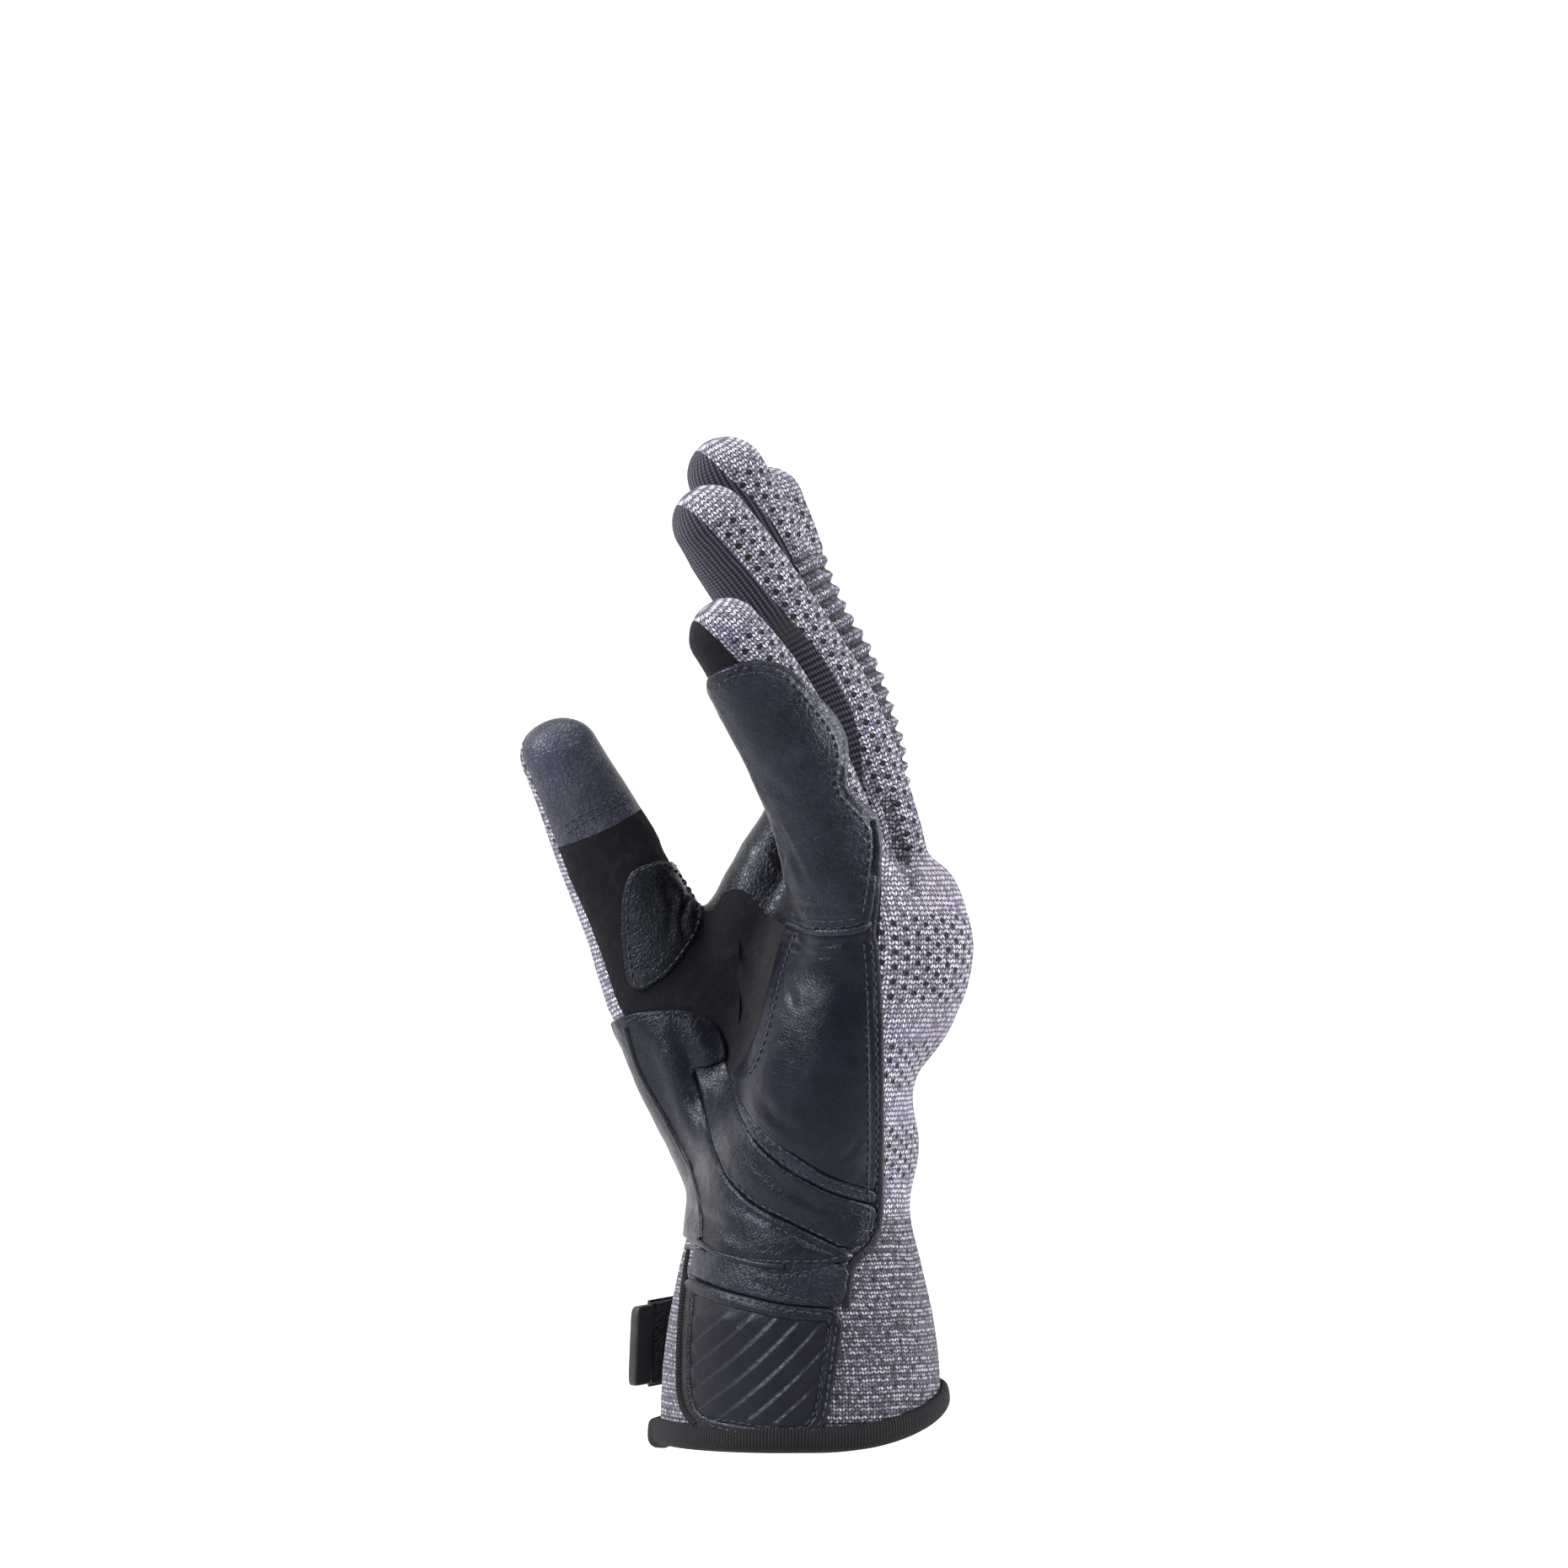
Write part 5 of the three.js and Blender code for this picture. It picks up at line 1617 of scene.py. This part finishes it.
def flat_strip(start, stop, inner, outer, low, high, rough=0.0):
    """A rounded flat strip along the free end, with its own waviness."""
    runs = np.arange(start, stop + 0.3, 0.5)
    t, h = (inner + outer) / 2, (outer - inner) / 2
    zs, half_z = (low + high) / 2, (high - low) / 2
    a = np.linspace(0, 2 * math.pi, 64, endpoint=False)
    loop = np.stack([h * power(np.cos(a), 0.35), half_z * power(np.sin(a), 0.16)], 1)
    dense = np.concatenate([loop, loop[:1]])
    length = run_along(dense)
    k = np.linspace(0, length[-1], 120, endpoint=False)
    loop = at_runs(k, length, dense)
    points = np.zeros((len(runs) + 2, len(loop), 3))
    uv = np.zeros((len(runs) + 2, len(loop), 2))
    for i, run in enumerate(np.r_[runs[0], runs, runs[-1]]):
        shrink = 0.02 if i in (0, len(runs) + 1) else 1.0
        bend = 0.35 * math.sin(run / 7.0)
        off = t + bend + loop[:, 0] * shrink
        points[i, :, :2] = LEAVE + heading * run + beside * off[:, None]
        points[i, :, 2] = zs - 3.0 * max(run, 0) / 27 + loop[:, 1] * shrink
        uv[i] = np.stack([k, np.full(len(k), run)], 1)
    s = sheet_of(points, uv, close_columns=True)
    if rough:
        n = np.append(-beside, 0)
        fine, broad = (rough * values_noise(s.v, size, seed) for size, seed in ((0.9, 21), (2.1, 31)))
        s.v = s.v + n * fine[:, None] + n * broad[:, None]
    return s


body = flat_strip(-2.0, 21.5, 1.0, 2.3, 15.2, 36.8)
write("strap_free_end", body, TAPE_LEATHER, body.uv)
loops = flat_strip(-1.0, 21.6, 0.0, 1.15, 15.8, 36.2, 0.22)
write("strap_loops", loops, FUZZ, loops.uv)

# Moulded tip of the strap.
a = np.linspace(-math.pi / 2, math.pi / 2, 25)
b = np.linspace(-math.pi, math.pi, 65)[:-1]
ca, sa = np.cos(a)[:, None], np.sin(a)[:, None]
cb, sb = np.cos(b)[None], np.sin(b)[None]
length_part = power(ca, 0.3) * power(cb, 0.35) * 2.9
thick_part = power(ca, 0.3) * power(sb, 0.5) * 1.75
tall_part = power(sa, 0.22) * 9.9 * np.ones_like(cb)
run = 24.2 + length_part - 0.05 * tall_part
off = 1.1 + thick_part
points = np.zeros((len(a), len(b), 3))
points[..., :2] = LEAVE + heading * run[..., None] + beside * off[..., None]
points[..., 2] = 23.3 + tall_part - 0.12 * length_part
uv = np.stack(np.broadcast_arrays(b[None] * 3, a[:, None] * 10), -1)
tip = sheet_of(points, uv, close_columns=True)
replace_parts(write("strap_tip_moulded", tip, RUBBER, tip.uv), "strap_tip")

# Inner face of the wall, seen through the wrist opening.
lv, lt = iso_mesh(*hand_grid(COARSE), -WALL)
lv = corrected(lv)
ln = vertex_normals(lv, lt)
inner = Skin(lv, lt[:, ::-1], {"n": -ln}).cut(above_hem(2.0)).largest()
write("inner_face", inner, CUFF, side_xz(inner.v))


# Floor, lights and camera.


def lathe_floor():
    """A pale floor that rises far away on every side."""
    flat, bend, steps, n = 4.2, 2.0, 12, 72
    rings = [(0.0, 0.0), (1.0, 0.0), (2.5, 0.0), (flat, 0.0)]
    for i in range(1, steps + 1):
        a = math.pi / 2 * i / steps
        rings.append((flat + bend * math.sin(a), bend * (1 - math.cos(a))))
    rings.append((flat + bend, 3.2))
    verts, faces = [], []
    for r, z in rings:
        for i in range(n):
            a = 2 * math.pi * i / n
            verts.append((r * math.cos(a), r * math.sin(a), z - 0.12))
    for k in range(len(rings) - 1):
        for i in range(n):
            j = (i + 1) % n
            faces.append((k * n + i, k * n + j, (k + 1) * n + j, (k + 1) * n + i))
    mesh = bpy.data.meshes.new("studio_floor")
    mesh.from_pydata(verts, [], faces)
    mesh.polygons.foreach_set("use_smooth", [True] * len(faces))
    floor = bpy.data.objects.new("studio_floor", mesh)
    bpy.context.scene.collection.objects.link(floor)
    m = bpy.data.materials.new("pale_floor")
    m.use_nodes = True
    shader = m.node_tree.nodes["Principled BSDF"]
    shader.inputs["Base Color"].default_value = (0.6, 0.6, 0.61, 1)
    shader.inputs["Roughness"].default_value = 0.9
    # The far side glows, as a lit backdrop does.
    tree = m.node_tree
    place = tree.nodes.new("ShaderNodeTexCoord")
    along = tree.nodes.new("ShaderNodeVectorMath")
    along.operation = "DOT_PRODUCT"
    along.inputs[1].default_value = SIGHT
    tree.links.new(place.outputs["Object"], along.inputs[0])
    glow = tree.nodes.new("ShaderNodeMapRange")
    glow.interpolation_type = "SMOOTHSTEP"
    for i, value in ((1, -0.3), (2, 1.6), (3, 0.05), (4, 0.9)):
        glow.inputs[i].default_value = value
    tree.links.new(along.outputs["Value"], glow.inputs[0])
    shader.inputs["Emission Color"].default_value = (1, 1, 1, 1)
    tree.links.new(glow.outputs[0], shader.inputs["Emission Strength"])
    mesh.materials.append(m)


def light(name, direction, distance, size, watts):
    lamp = bpy.data.lights.new(name, "AREA")
    lamp.shape = "DISK"
    lamp.size = size
    lamp.energy = watts
    lamp_object = bpy.data.objects.new(name, lamp)
    d = Vector(direction).normalized()
    lamp_object.location = Vector((0, 0, 0.12)) + d * distance
    lamp_object.rotation_euler = (-d).to_track_quat("-Z", "Y").to_euler()
    bpy.context.scene.collection.objects.link(lamp_object)


def of_view(right, up, towards):
    """A direction given as seen by the camera."""
    return (right * CT - towards * ST, -right * ST - towards * CT, up)


lathe_floor()
LIGHTS = [  # name, direction right, up and towards the camera, distance, size, watts
    ("key", (-1.0, 0.9, 0.25), 1.5, 0.5, 32), ("front", (0.7, 1.1, 0.9), 2.0, 0.7, 20),
    ("sheen", (-0.62, 0.45, 0.62), 1.7, 0.3, 11), ("rim", (1.0, 0.35, -0.15), 1.4, 0.6, 20),
    ("top", (-0.1, 1.0, -0.25), 1.5, 0.8, 12),
]
for name, direction, *rest in LIGHTS:
    light(name, of_view(*direction), *rest)

world = bpy.data.worlds.new("studio")
bpy.context.scene.world = world
world.use_nodes = True
background = world.node_tree.nodes["Background"]
background.inputs["Color"].default_value = (0.95, 0.96, 0.97, 1)
background.inputs["Strength"].default_value = 0.34
bpy.context.scene.view_settings.view_transform = "Standard"

FRAME_WIDTH, CAMERA_DISTANCE = 1860, 3000.0  # points of the picture, and mm
cam = bpy.data.cameras.new("camera")
cam.sensor_width = 36
cam.sensor_height = 36
cam.sensor_fit = "HORIZONTAL"
cam.lens = cam.sensor_width * CAMERA_DISTANCE / (FRAME_WIDTH / PER_MM)
cam.clip_start, cam.clip_end = 0.05, 60
camera = bpy.data.objects.new("camera", cam)
across, up = (FRAME_WIDTH / 2 - MID_X) / PER_MM / 1000, (MID_Z - FRAME_WIDTH / 2) / PER_MM / 1000
camera.location = Vector((CT * across, -ST * across, up)) - SIGHT * CAMERA_DISTANCE / 1000
camera.rotation_euler = SIGHT.to_track_quat("-Z", "Y").to_euler()
bpy.context.scene.collection.objects.link(camera)
bpy.context.scene.camera = camera
